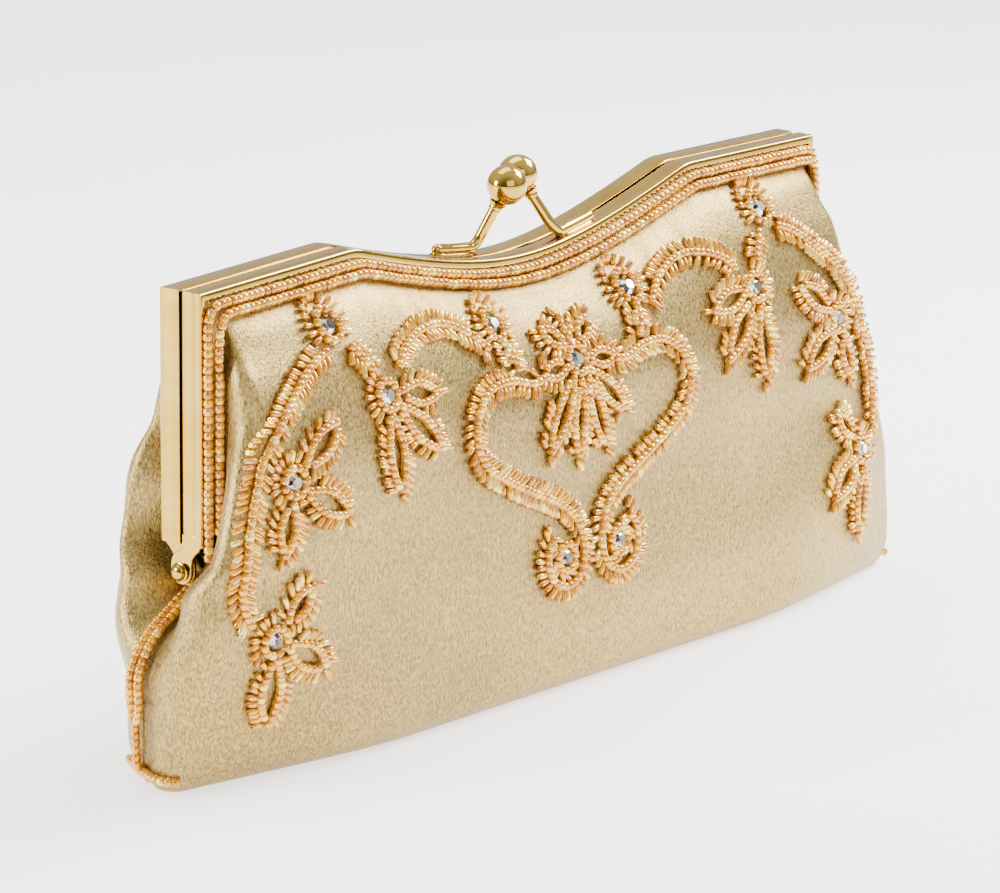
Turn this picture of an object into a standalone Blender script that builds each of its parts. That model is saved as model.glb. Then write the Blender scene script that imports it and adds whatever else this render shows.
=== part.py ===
"""Satin evening clutch with a kiss-lock frame and beaded trim.

Design space is in millimetres: X along the bag, front towards -Y, and Z = 0 at the level of the
frame's upper corners. Every point is converted to metres, with the flat base at Z = 0, on its way
into a mesh. "Drop" is the distance below the frame's top edge, measured down the fabric.
"""

from math import acos, asin, cos, exp, pi, sin, sqrt

import bmesh
import bpy
from mathutils import Matrix, Vector

# ---- driving dimensions (mm) -------------------------------------------------------------------
HALF_WIDTH = 115.0          # half the frame's width
BAG_DROP = 110.0            # frame corners to the flat base
HALF_DEPTH = 6.0            # depth of one frame half, front to back
HALF_GAP = 0.25             # half the slit between the closed frame halves
SHEET = 0.7                 # thickness of the pressed brass
LIP_TOP, LIP_LEG = 2.0, 1.3  # visible lip under the top bar and beside the legs
INNER_LIP = 3.2
CHAMFER = 0.4
LEG_END = 57.0              # lower end of the channel section of the legs
HINGE_DROP = 63.25
DIP_DROP, DIP_RISE, DIP_HALF = 10.4, 12.6, 38.0   # the dip at the middle of the top bar
SHOULDER_X, SHOULDER_Z, SHOULDER_SLOPE = 63.5, 1.15, 0.0226
SHOULDER_BLEND = 0.8

EAR_HALF = 2.9
EAR_SHEET = 0.85
FRONT_EAR_X, REAR_EAR_X = 114.95, 113.8
EAR_HOLE = 1.1
RIVET_SHANK, RIVET_HEAD, RIVET_TAIL = 0.8, 1.9, 1.5

CLOTH, WADDING, LINING = 0.8, 1.2, 0.6
GAP = 0.3
PANEL_END, SHELL_START = 48.0, 68.0   # the soft fold at hinge level lies between these drops
BASE_ROUND = 7.0
BASE_SHIFT, BASE_TWIST = -4.0, -0.05  # the filled base sits a little forward and askew
PINCH_WIDTH = 6.5                     # how wide the cloth draws in towards the side seam

BEAD_R = 0.9
BEAD_LIFT, BEAD_HEIGHT = 0.7, 1.4     # embroidery stands this far off the satin, and this high
VINE_HALF = 2.2
BALL_R, WIRE_R = 4.7, 1.1

# ---- soft shape: (drop, value) stations ----------------------------------------------------------
FRONT_DEPTH = [(0, 5.0), (2.4, 5.0), (4.3, 6.1), (6.5, 7.9), (11, 12.6), (20, 18.0), (30, 21.6),
               (42, 24.4), (58, 25.6), (75, 26.0), (92, 25.4), (110, 22.8)]
REAR_DEPTH = [(0, 5.0), (2.4, 5.0), (6, 8.0), (15, 13.6), (28, 19.6), (42, 24.0),
              (58, 25.4), (75, 25.4), (90, 23.6), (100, 21.6), (110, 19.5)]
SIDE_REACH = [(0, 109.5), (12, 111), (27, 113), (36, 117), (52, 122.5), (60, 126),
              (70, 128), (84, 129.4), (100, 129), (110, 127.5)]
SEAM_REACH = [(0, 109), (58, 109), (63, 108.6), (67, 107.3), (70, 109.3), (73, 115), (76, 121),
              (79, 124.6), (85, 127.4), (92, 126.6), (110, 125)]
FLANGE = [(113.8, 4.9), (111.3, 5.6)]  # edge of the cloth inside the leg channel: (x, depth)

PANEL_DROPS = [1.0, 2.4, 4.3, 7, 11, 17, 25, 35, PANEL_END]
WADDING_DROPS = PANEL_DROPS[3:]
FOLD_DROPS = [48.4, 53, 57, 61, 64.5, 67.6]
SHELL_DROPS = [SHELL_START, 70.5, 73, 76, 80, 88, 98, 103, 107, 109.2, BAG_DROP]
# Columns of the half section from the seam to the middle: fractions of the depth round the boxed
# end, then fractions of the reach along the flat face.
END_DEPTHS = [0, 0.12, 0.27, 0.45, 0.64, 0.82]
FACE_FINE = [0.76, 0.66, 0.58, 0.5, 0.38, 0.25, 0.12, 0]
FACE_COARSE = [0.76, 0.52, 0.26, 0]

# ---- embroidery on the front, left half: (x, z) on the closed bag --------------------------------
MIRROR_X, HEART_X = -1.0, -2.5        # the right half mirrors the left about these
VINE_OUTER = [(-91, -18.6), (-98, -23), (-105, -28.4), (-111, -35), (-114.6, -43), (-117.6, -52),
              (-119.4, -60), (-119.8, -65)]
VINE_INNER = [(-61.5, -20.2), (-55, -18), (-48, -17.6), (-41, -19.4), (-36, -22)]
HEART = [(-20, -35.8), (-27, -33.6), (-35, -34), (-41, -38), (-43, -44), (-40.5, -50),
         (-33, -55), (-24, -59.4), (-15, -63.6), (-8.6, -68.4), (-5.9, -75), (-7.4, -81.4),
         (-12.6, -83.8), (-17.8, -81), (-19.2, -75), (-16, -70.6)]
# name: crystal x, z, base radius, lobes as (angle in degrees, reach, half-angle)
CLUSTERS = {
    "top_flower": (-82, -12, 4.8, [(200, 7.2, 24), (270, 7.4, 24), (335, 7.6, 24)]),
    "mid_leaves": (-71, -28.5, 6.4, [(352, 17.5, 18), (318, 22, 15), (272, 22, 17)]),
    "inner_flower": (-26.5, -21.5, 5.6, [(20, 7.2, 24), (280, 7.0, 24), (150, 7.2, 22)]),
    "side_leaves": (-103.5, -41.5, 6.0, [(35, 18.5, 18), (328, 18.5, 17), (252, 16, 20)]),
    "low_leaves": (-110.5, -75.5, 5.6, [(42, 13, 22), (330, 18.5, 18), (278, 21, 18)]),
}
CENTRE_FLOWER = (HEART_X, -33, 6.4,
                 [(140, 11.5, 22), (90, 9, 20), (40, 11.5, 22), (185, 13, 17), (355, 13, 17),
                  (232, 25, 14), (262, 22.5, 14), (290, 22.5, 14), (318, 21, 14)])
LOOP_CRYSTAL = (-12.4, -77)
CRYSTAL_R, CRYSTAL_H = 2.2, 1.8
CLUSTER_SIDES = 30

# ---- formulas ------------------------------------------------------------------------------------
def lookup(value, stations):
    """Smooth, monotone curve through (position, value) stations."""
    xs = [s[0] for s in stations]
    ys = [s[1] for s in stations]
    if value <= xs[0]:
        return ys[0]
    if value >= xs[-1]:
        return ys[-1]
    k = max(i for i in range(len(xs) - 1) if xs[i] <= value)

    def secant(i):
        return (ys[i + 1] - ys[i]) / (xs[i + 1] - xs[i])

    def slope(i):
        if i == 0 or i == len(xs) - 1:
            return secant(min(i, len(xs) - 2))
        a, b = secant(i - 1), secant(i)
        return 0.0 if a * b <= 0 else 2 * a * b / (a + b)

    h = xs[k + 1] - xs[k]
    t = (value - xs[k]) / h
    return ((1 + 2 * t) * (1 - t) ** 2 * ys[k] + t * (1 - t) ** 2 * h * slope(k)
            + t * t * (3 - 2 * t) * ys[k + 1] + t * t * (t - 1) * h * slope(k + 1))


def fade(start, end, value):
    """0 before start, 1 after end, smooth between."""
    t = min(1.0, max(0.0, (value - start) / (end - start)))
    return t * t * (3 - 2 * t)


def frame_top(x):
    """Height of the frame's top edge: straight shoulders with a dip at the middle."""
    x = abs(x)
    dip = -DIP_DROP + DIP_RISE * (sqrt(1 + (x / DIP_HALF) ** 2) - 1)
    shoulder = SHOULDER_Z - SHOULDER_SLOPE * (x - SHOULDER_X)
    near = max(0.0, SHOULDER_BLEND - abs(dip - shoulder)) / SHOULDER_BLEND
    return min(dip, shoulder) - near * near * SHOULDER_BLEND / 4


def seam_depth(drop):
    """Half the distance between front and rear cloth at the side: open at the legs, 0 at the seam."""
    open_side = FRONT_DEPTH[0][1] + 1.5 * fade(2.4, 6, drop)
    return open_side * (1 - fade(56, 66, drop))


def base_inset(drop):
    low = drop - (BAG_DROP - BASE_ROUND)
    if low <= 0:
        return 0.0
    return BASE_ROUND * (1 - sqrt(max(0.0, 1 - (low / BASE_ROUND) ** 2)))


def end_power(drop, rear):
    """Superellipse power of the section: how square its ends are."""
    return (3.4 if rear else 6.5) + 2.5 * fade(85, 108, drop)


def section(angle, drop, rear, skin=0.0):
    """(x, depth) on the half section at one drop; angle is 0 at the seam and pi/2 at the middle.

    skin is how far the surface lies inside the outer face of the satin."""
    depth = lookup(drop, REAR_DEPTH if rear else FRONT_DEPTH) - skin
    reach = lookup(drop, SIDE_REACH) - skin
    if rear:
        reach -= 3.0 * fade(40, 60, drop) + 4.0 * fade(72, 92, drop)
    seam = lookup(drop, SEAM_REACH) - skin
    start = seam_depth(drop) - skin * (1 - fade(2.4, 12, drop))
    power = end_power(drop, rear)
    across = max(0.0, cos(angle)) ** (2 / power)
    out = sin(angle) ** (2 / power)
    y = start + max(0.0, depth - start) * out
    pinch = exp(-((y - start) / PINCH_WIDTH) ** 2)
    x = reach * across - (reach - seam) * pinch * min(1.0, across / 0.6)
    y *= 1 - 0.32 * fade(70, 108, drop) * fade(60, 127, x)
    inset = base_inset(drop)
    return max(0.0, x - 0.25 * inset * across), y - 0.6 * inset * out


def half_section(drop, rear, skin, face):
    """Points from the seam to the middle; face is the list of columns along the flat."""
    half_power = end_power(drop, rear) / 2
    angles = [asin(f ** half_power) for f in END_DEPTHS]
    angles += [acos(f ** half_power) for f in face]
    return [section(a, drop, rear, skin) for a in angles]


def askew(x, drop):
    """Forward shift of the filled base under the frame."""
    return fade(58, BAG_DROP, drop) * (BASE_SHIFT + BASE_TWIST * x)


def cloth_point(x, depth, drop, rear):
    z = -drop + frame_top(x) * (1 - fade(0, 45, drop))
    return Vector((x, (depth if rear else -depth) + askew(x, drop), z))


def front_face(x, z, lift=0.0):
    """Point on the satin front seen at (x, z), lifted off it towards the viewer."""
    def at(px, pz):
        drop = max(0.0, -pz)
        for _ in range(12):
            drop = max(0.0, -pz + frame_top(px) * (1 - fade(0, 45, drop)))
        depth, reach = lookup(drop, FRONT_DEPTH), lookup(drop, SIDE_REACH)
        power = end_power(drop, False)
        start = seam_depth(drop)
        bulge = max(0.0, 1 - min(1.0, abs(px) / reach) ** power) ** (1 / power)
        y = start + (depth - start) * bulge
        y *= 1 - 0.32 * fade(70, 108, drop) * fade(60, 127, abs(px))
        return Vector((px, -y + askew(px, drop), pz))

    step = 0.5
    middle = at(x, z)
    normal = (at(x + step, z) - at(x - step, z)).cross(at(x, z + step) - at(x, z - step))
    return middle + normal.normalized() * lift


# ---- mesh builders -------------------------------------------------------------------------------
def material(name, colour, roughness, metallic=0.0):
    mat = bpy.data.materials.get(name)
    if mat is None:
        mat = bpy.data.materials.new(name)
        mat.use_nodes = True
        shader = mat.node_tree.nodes["Principled BSDF"]
        shader.inputs["Base Color"].default_value = (*colour, 1.0)
        shader.inputs["Roughness"].default_value = roughness
        shader.inputs["Metallic"].default_value = metallic
    return mat


def satin():
    return material("champagne_satin", (0.62, 0.51, 0.37), 0.35)


def gold():
    return material("polished_gold", (0.86, 0.66, 0.33), 0.12, 1.0)


def beads():
    return material("amber_beads", (0.80, 0.52, 0.24), 0.25)


def place(point):
    """Design millimetres to metres, with the base at Z = 0."""
    return Vector((point[0], point[1], point[2] + BAG_DROP)) / 1000.0


def make_object(name, points, faces, mat, smooth_angle=0.6):
    mesh = bpy.data.meshes.new(name)
    work = bmesh.new()
    verts = [work.verts.new(place(p)) for p in points]
    for face in faces:
        work.faces.new([verts[i] for i in face])
    bmesh.ops.recalc_face_normals(work, faces=work.faces)
    work.to_mesh(mesh)
    work.free()
    mesh.shade_smooth()
    mesh.set_sharp_from_angle(angle=smooth_angle)
    mesh.materials.append(mat)
    item = bpy.data.objects.new(name, mesh)
    bpy.context.scene.collection.objects.link(item)
    return item


def grid_faces(rows, columns, first=0, wrap=False):
    faces = []
    for r in range(rows - 1):
        for c in range(columns if wrap else columns - 1):
            d = (c + 1) % columns
            faces.append((first + r * columns + c, first + r * columns + d,
                          first + (r + 1) * columns + d, first + (r + 1) * columns + c))
    return faces


def slab(name, outer, inner, mat):
    """Closed sheet between two grids of the same size."""
    rows, columns = len(outer), len(outer[0])
    size = rows * columns
    points = [p for row in outer + inner for p in row]
    faces = grid_faces(rows, columns) + grid_faces(rows, columns, size)
    rim = list(range(columns))
    rim += [r * columns + columns - 1 for r in range(1, rows)]
    rim += [(rows - 1) * columns + c for c in range(columns - 2, -1, -1)]
    rim += [r * columns for r in range(rows - 2, 0, -1)]
    for a, b in zip(rim, rim[1:] + rim[:1]):
        faces.append((a, b, b + size, a + size))
    return make_object(name, points, faces, mat)


def cup(name, outer, inner, mat):
    """Closed bowl: two stacks of rings from the rim down, each closed by a fan at its base."""
    columns = len(outer[0])
    size = len(outer) * columns
    points = [p for ring in outer + inner for p in ring]
    faces = grid_faces(len(outer), columns, 0, True) + grid_faces(len(inner), columns, size, True)
    for c in range(columns):
        d = (c + 1) % columns
        faces.append((c, d, size + d, size + c))
    for first, ring in ((size - columns, outer[-1]), (2 * size - columns, inner[-1])):
        points.append(sum(ring, Vector()) / columns)
        centre = len(points) - 1
        faces += [(first + c, first + (c + 1) % columns, centre) for c in range(columns)]
    return make_object(name, points, faces, mat)


def loft(name, rings, mat):
    """Closed solid through rings of points, with a fan at each end."""
    columns = len(rings[0])
    points = [p for ring in rings for p in ring]
    faces = grid_faces(len(rings), columns, 0, True)
    for first, ring in ((0, rings[0]), ((len(rings) - 1) * columns, rings[-1])):
        points.append(sum((Vector(p) for p in ring), Vector()) / columns)
        centre = len(points) - 1
        faces += [(first + c, first + (c + 1) % columns, centre) for c in range(columns)]
    return make_object(name, points, faces, mat)


def smooth_path(points, per_span=3):
    """Points on a smooth curve through the given ones."""
    pts = [Vector(p) for p in points]
    out = []
    for i in range(len(pts) - 1):
        before = pts[i - 1] if i else pts[i] * 2 - pts[i + 1]
        after = pts[i + 2] if i + 2 < len(pts) else pts[i + 1] * 2 - pts[i]
        for k in range(per_span):
            t = k / per_span
            out.append(0.5 * (2 * pts[i] + (pts[i + 1] - before) * t
                              + (2 * before - 5 * pts[i] + 4 * pts[i + 1] - after) * t ** 2
                              + (3 * pts[i] - before - 3 * pts[i + 1] + after) * t ** 3))
    return out + [pts[-1]]


def tube(name, path, radius, mat, sides=6, across=None, flat=1.0):
    """Round strand along a path, or one flattened to a wider strip in the direction across."""
    rings = []
    side = None
    for i, point in enumerate(path):
        ahead = path[min(i + 1, len(path) - 1)]
        behind = path[max(i - 1, 0)]
        tangent = (ahead - behind).normalized()
        guide = across or side or Vector((0.0, 1.0, 0.0))
        side = (guide - tangent * guide.dot(tangent)).normalized()
        other = tangent.cross(side)
        rings.append([point + side * cos(2 * pi * k / sides) * radius * flat
                      + other * sin(2 * pi * k / sides) * radius for k in range(sides)])
    return loft(name, rings, mat)


def lathe(name, profile, start, direction, mat, sides=12):
    """Turned solid: profile is (along, radius) from end to end."""
    axis = Vector(direction).normalized()
    side = axis.orthogonal().normalized()
    other = axis.cross(side)
    rings = [[Vector(start) + axis * along + (side * cos(2 * pi * k / sides)
              + other * sin(2 * pi * k / sides)) * radius for k in range(sides)]
             for along, radius in profile]
    return loft(name, rings, mat)


def boolean(item, cutter, operation):
    step = item.modifiers.new(operation.lower(), "BOOLEAN")
    step.operation = operation
    step.solver = "EXACT"
    step.object = cutter
    cutter.hide_render = True
    cutter.display_type = "WIRE"


# ---- frame ---------------------------------------------------------------------------------------
def frame_stations():
    """(x, z) along one frame half: up the left leg, over the top bar, down the right leg."""
    shoulder = [-98, -82, -70, -66, -63.5, -61, -57]
    dip = [-51 + 6 * i for i in range(9)]
    left = shoulder + dip
    tops = left + [0] + [-x for x in reversed(left)]
    return ([("leg", -1, -LEG_END), ("leg", -1, -30), ("corner", -1, 0)]
            + [("top", x, 0) for x in tops]
            + [("corner", 1, 0), ("leg", 1, -30), ("leg", 1, -LEG_END)])


def rim_point(station, leg_inset, top_inset, y):
    kind, x, z = station
    if kind == "leg":
        return Vector((x * (HALF_WIDTH - leg_inset), y, z))
    if kind == "corner":
        return Vector((x * (HALF_WIDTH - leg_inset), y, frame_top(HALF_WIDTH) - top_inset))
    return Vector((x, y, frame_top(x) - top_inset))


def channel_profile():
    """(inset on the legs, inset on the top bar, depth) round the pressed channel."""
    near, far = HALF_GAP, HALF_DEPTH
    return [(0, 0, near + CHAMFER), (0, 0, far - CHAMFER), (CHAMFER, CHAMFER, far),
            (LIP_LEG, LIP_TOP, far), (LIP_LEG, LIP_TOP, far - SHEET), (SHEET, SHEET, far - SHEET),
            (SHEET, SHEET, near + SHEET), (INNER_LIP, INNER_LIP, near + SHEET),
            (INNER_LIP, INNER_LIP, near), (CHAMFER, CHAMFER, near)]


def ear(name, side, face, direction, upper):
    """Flat hinge ear: side -1 or 1 along X, face its outer x, direction -1 for the front half."""
    arc = [(EAR_HALF * cos(pi * k / 8), -HINGE_DROP - EAR_HALF * sin(pi * k / 8)) for k in range(9)]
    outline = [(-1.3, upper), (-4.9, upper), (-4.9, -57.8), (-3.1, -60.0)]
    outline += [(-y, z) for y, z in arc] + [(2.9, -60.4), (0.4, -58.6), (-1.3, -58.0)]
    rings = [[Vector((side * x, -direction * y, z)) for y, z in outline]
             for x in (face, face - EAR_SHEET)]
    return prism(name, rings)


def prism(name, rings):
    """Closed prism between two copies of an outline."""
    count = len(rings[0])
    faces = [tuple(range(count)), tuple(range(count, 2 * count))]
    faces += [(i, (i + 1) % count, count + (i + 1) % count, count + i) for i in range(count)]
    return make_object(name, rings[0] + rings[1], faces, gold())


def block(name, low, high):
    rings = [[Vector((x, low[1], low[2])), Vector((x, high[1], low[2])),
              Vector((x, high[1], high[2])), Vector((x, low[1], high[2]))] for x in (low[0], high[0])]
    return prism(name, rings)


def frame_half(name, direction):
    """One pressed U-channel frame half with its two hinge ears; direction is -1 at the front."""
    profile = channel_profile()
    rings = [[rim_point(s, leg, top, direction * y) for leg, top, y in profile]
             for s in frame_stations()]
    points = [p for ring in rings for p in ring]
    columns = len(profile)
    faces = grid_faces(len(rings), columns, 0, True)
    faces += [tuple(range(columns)), tuple(range(len(points) - columns, len(points)))]
    body = make_object(name, points, faces, gold())
    front = direction < 0
    for side in (-1, 1):
        face = FRONT_EAR_X if front else REAR_EAR_X
        boolean(body, ear(f"guide_ear_{name}_{side}", side, face, direction, -50.0), "UNION")
        if not front:
            xs = sorted((side * (REAR_EAR_X - 0.5), side * (HALF_WIDTH - 0.4)))
            joggle = block(f"guide_joggle_{name}_{side}", (xs[0], 1.6, -56.2), (xs[1], 4.6, -51.0))
            boolean(body, joggle, "UNION")
    hole = lathe(f"guide_hole_{name}", [(0, EAR_HOLE), (2 * HALF_WIDTH + 8, EAR_HOLE)],
                 (-HALF_WIDTH - 4, 0, -HINGE_DROP), (1, 0, 0), gold(), 16)
    boolean(body, hole, "DIFFERENCE")
    return body


def rivet(name, side):
    """Domed hinge rivet through both ears, with its tail upset on the inside."""
    profile = [(0.0, 0.7), (0.35, 1.35), (0.8, RIVET_HEAD), (1.3, RIVET_HEAD), (1.3, RIVET_SHANK),
               (4.5, RIVET_SHANK), (4.5, RIVET_TAIL), (5.2, RIVET_TAIL)]
    start = (side * (HALF_WIDTH + 2.1), 0, -HINGE_DROP)
    return lathe(name, profile, start, (-side, 0, 0), gold(), 12)


def packing_cord(name, direction):
    """Twisted paper cord that wedges the cloth into the frame channel."""
    inset, y, end = 1.95, direction * 2.2, -49.0
    x_leg = HALF_WIDTH - inset
    z_corner = frame_top(HALF_WIDTH) - inset
    side = [Vector((-x_leg, y, end)), Vector((-x_leg, y, -25)), Vector((-x_leg, y, z_corner - 2)),
            Vector((-x_leg + 0.6, y, z_corner - 0.6)), Vector((-x_leg + 2, y, z_corner))]
    tops = [-98, -82, -70, -64, -57, -45, -30, -15, 0, 15, 30, 45, 57, 64, 70, 82, 98]
    top = [Vector((x, y, frame_top(x) - inset)) for x in tops]
    path = side + top + [Vector((-p.x, p.y, p.z)) for p in reversed(side)]
    return tube(name, path, 0.75, material("paper_cord", (0.66, 0.55, 0.40), 0.9))


# ---- kiss-lock clasp -----------------------------------------------------------------------------
# Each arm is soldered to its own frame half and crosses over, so each ball stands on the far side.
CLASP = {
    "front": dict(foot=[(28.0, -3.2), (15.4, -3.2)], bend=(13.2, -2.9, -6.6), ball=(6.6, 2.2, 6.0)),
    "rear": dict(foot=[(-23.4, 3.2), (-9.6, 3.2)], bend=(-7.6, 2.9, -7.9), ball=(-3.1, -2.2, 5.6)),
}


def clasp(which):
    spec = CLASP[which]
    ball = Vector(spec["ball"])
    lift = WIRE_R + GAP
    foot = [Vector((x, y, frame_top(x) + lift)) for x, y in spec["foot"]]
    bend = Vector(spec["bend"])
    up = (ball - bend).normalized()
    tip = ball - up * (BALL_R + GAP)
    middle = (foot[0] + foot[1]) / 2
    middle.z = frame_top(middle.x) + lift
    path = [foot[0], middle, foot[1], foot[1].lerp(bend, 0.6), bend, bend + up * 2.0, tip]
    tube(f"clasp_arm_{which}", path, WIRE_R, gold(), 8)
    collar = tip - up * 1.9
    ring = [(WIRE_R + GAP, 0.0), (1.9, 0.0), (2.1, 0.6), (1.9, 1.2), (WIRE_R + GAP, 1.2)]
    turned_ring(f"clasp_collar_{which}", ring, collar, up)
    profile = [(BALL_R - BALL_R * cos(pi * k / 10), BALL_R * sin(pi * k / 10)) for k in range(1, 10)]
    profile = [(0.0, 0.35)] + profile + [(2 * BALL_R, 0.35)]
    lathe(f"clasp_ball_{which}", profile, ball - up * BALL_R, up, gold(), 16)


def turned_ring(name, ring, start, axis, sides=12):
    """Closed ring: (radius, along) outline turned about an axis."""
    side = axis.orthogonal().normalized()
    other = axis.cross(side)
    rings = [[start + axis * along + (side * cos(2 * pi * k / sides)
              + other * sin(2 * pi * k / sides)) * radius for radius, along in ring]
             for k in range(sides)]
    count = len(ring)
    points = [p for loop in rings for p in loop]
    faces = [(k * count + c, k * count + (c + 1) % count,
              (k + 1) % sides * count + (c + 1) % count, (k + 1) % sides * count + c)
             for k in range(sides) for c in range(count)]
    return make_object(name, points, faces, gold())


# ---- soft parts ----------------------------------------------------------------------------------
def panel_row(drop, rear, skin, face, flange_skin):
    """One row of a panel from its left edge to its right edge, with its flange in the leg channel."""
    half = []
    if flange_skin is not None:
        half += [(x, min(depth, seam_depth(drop)) - flange_skin) for x, depth in FLANGE]
    half += half_section(drop, rear, skin, face)
    half = [(x, max(depth, GAP)) for x, depth in half]
    left = [cloth_point(-x, depth, drop, rear) for x, depth in half]
    right = [cloth_point(x, depth, drop, rear) for x, depth in reversed(half[:-1])]
    return left + right


def sheet(name, drops, rear, skin, thickness, mat, face, flange):
    """Layer of one panel; its flange stays thin enough for the leg channel."""
    outer, inner = [], []
    for drop in drops:
        thin = min(skin(drop), CLOTH + GAP)
        outer.append(panel_row(drop, rear, skin(drop), face, thin if flange else None))
        inner.append(panel_row(drop, rear, skin(drop) + thickness, face,
                               thin + thickness if flange else None))
    return slab(name, outer, inner, mat)


def lining_skin(drop):
    """The lining lies on the satin in the channel and behind the wadding lower down."""
    in_channel = CLOTH + GAP
    return in_channel + (WADDING + GAP) * fade(2.4, 6.5, drop)


def upper_panels(which):
    rear = which == "rear"
    lining = material("lining_cloth", (0.66, 0.56, 0.42), 0.6)
    wadding = material("wadding", (0.90, 0.89, 0.86), 0.95)
    sheet(f"{which}_panel", PANEL_DROPS, rear, lambda d: 0.0, CLOTH, satin(), FACE_FINE, True)
    sheet(f"{which}_interlining", WADDING_DROPS, rear, lambda d: CLOTH + GAP, WADDING, wadding,
          FACE_FINE, False)
    sheet(f"{which}_lining", PANEL_DROPS, rear, lining_skin, LINING, lining, FACE_FINE, True)
    sheet(f"{which}_fold", FOLD_DROPS, rear, lambda d: 0.0, CLOTH, satin(), FACE_COARSE, False)


def shell_ring(drop, skin, base_lift):
    """Closed ring round the pouch below the hinge."""
    front = half_section(drop, False, skin, FACE_COARSE)
    rear = half_section(drop, True, skin, FACE_COARSE)
    ring = [cloth_point(-x, y, drop, False) for x, y in front]
    ring += [cloth_point(x, y, drop, False) for x, y in reversed(front[:-1])]
    ring += [cloth_point(x, y, drop, True) for x, y in rear[1:]]
    ring += [cloth_point(-x, y, drop, True) for x, y in reversed(rear[1:-1])]
    squeeze = (BAG_DROP - base_lift - SHELL_START) / (BAG_DROP - SHELL_START)
    for p in ring:
        p.z = -SHELL_START + (p.z + SHELL_START) * squeeze
    return ring


def lower_shell(name, skin, thickness, mat):
    outer = [shell_ring(d, skin, skin) for d in SHELL_DROPS]
    inner = [shell_ring(d, skin + thickness, skin + thickness) for d in SHELL_DROPS]
    return cup(name, outer, inner, mat)


# ---- beading -------------------------------------------------------------------------------------
def top_to_bottom(side, top):
    """Left leg, top bar and mirrored right leg as one route."""
    return side + top + [Vector((-p.x, p.y, p.z)) for p in reversed(side)]


def frame_beads(name, leg_x, leg_y, top_drop, top_y, end):
    """Strand of beads along the inside of the front frame, down both legs."""
    side = [Vector((-leg_x, -leg_y, z)) for z in (end, -36, -22, -top_drop - 5)]
    side += [Vector((-leg_x + 0.9, -(leg_y + top_y) / 2, -top_drop - 2.2)),
             Vector((-leg_x + 3.2, -top_y, frame_top(leg_x) - top_drop))]
    tops = [-98, -82, -70, -63, -55, -44, -30, -15, 0, 15, 30, 44, 55, 63, 70, 82, 98]
    top = [Vector((x, -top_y, frame_top(x) - top_drop)) for x in tops]
    return tube(name, top_to_bottom(side, top), BEAD_R, beads())


def corner_route(side):
    """Across the boxed bottom corner, from front to rear."""
    drop = 106.9
    route = []
    for rear, fractions in ((False, (0.7, 0.5, 0.3, 0.15)), (True, (0.0, 0.15, 0.3, 0.5))):
        for f in fractions:
            x, depth = section(asin(f ** (end_power(drop, rear) / 2)), drop, rear)
            point = cloth_point(side * x, depth, drop, rear)
            route.append(point + Vector((side * 1.6, 0, 0)))
    return route


def seam_beads(name, side):
    """Double strand over the side seam, from the hinge down, with the strand across the corner."""
    route = []
    for drop in (69.5, 71.5, 73.5, 76, 79, 82, 87, 93, 99, 106.4):
        x = lookup(drop, SEAM_REACH)
        slope = (lookup(drop + 1, SEAM_REACH) - lookup(drop - 1, SEAM_REACH)) / 2
        lift = BEAD_R + 0.5 + 0.1 * (lookup(drop, SIDE_REACH) - x)
        size = sqrt(1 + slope * slope)
        route.append(Vector((side * (x + lift / size), askew(side * x, drop),
                             -drop + lift * slope / size)))
    seam = tube(name, route, BEAD_R, beads(), 8, Vector((0.0, 1.0, 0.0)), 1.9)
    corner = tube(f"guide_corner_{side}", corner_route(side), BEAD_R, beads(), 8)
    boolean(seam, corner, "UNION")


def ribbon(name, route):
    """Beaded line on the front: a flat strip that follows the satin."""
    path = smooth_path([(x, z, 0) for x, z in route], 2)
    outer, inner = [], []
    for i, p in enumerate(path):
        tangent = (path[min(i + 1, len(path) - 1)] - path[max(i - 1, 0)]).normalized()
        across = Vector((-tangent.y, tangent.x, 0))
        edge = [p + across * VINE_HALF * k for k in (-1, 0, 1)]
        outer.append([front_face(q.x, q.y, BEAD_LIFT + BEAD_HEIGHT) for q in edge])
        inner.append([front_face(q.x, q.y, BEAD_LIFT) for q in edge])
    return slab(name, outer, inner, beads())


def cluster_reach(angle, base, lobes):
    """Radius of a flower or leaf group's outline at one angle."""
    reach = base
    for at, length, half in lobes:
        off = (angle - at + 180) % 360 - 180
        if abs(off) < half:
            reach = max(reach, length * sqrt(1 - (off / half) ** 2))
    return reach


def cluster(name, x, z, base, lobes, side=1):
    """Flower or leaf group: an open pad round its crystal. Side -1 turns the outline over."""
    fractions = (0.0, 0.5, 1.0)
    hole = CRYSTAL_R + GAP
    layers = []
    for lift in (BEAD_LIFT + BEAD_HEIGHT, BEAD_LIFT):
        rings = []
        for k in fractions:
            ring = []
            for i in range(CLUSTER_SIDES):
                turn = 360 * i / CLUSTER_SIDES
                radius = hole + (cluster_reach(turn, base, lobes) - hole) * k
                a = turn * pi / 180
                ring.append(front_face(x + side * radius * cos(a), z + radius * sin(a), lift))
            rings.append(ring)
        layers.append(rings)
    rows = len(fractions)
    size = rows * CLUSTER_SIDES
    points = [p for rings in layers for ring in rings for p in ring]
    faces = grid_faces(rows, CLUSTER_SIDES, 0, True) + grid_faces(rows, CLUSTER_SIDES, size, True)
    for c in range(CLUSTER_SIDES):
        d = (c + 1) % CLUSTER_SIDES
        faces.append((c, d, size + d, size + c))
        last = size - CLUSTER_SIDES
        faces.append((last + c, last + d, size + last + d, size + last + c))
    return make_object(name, points, faces, beads())


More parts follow.
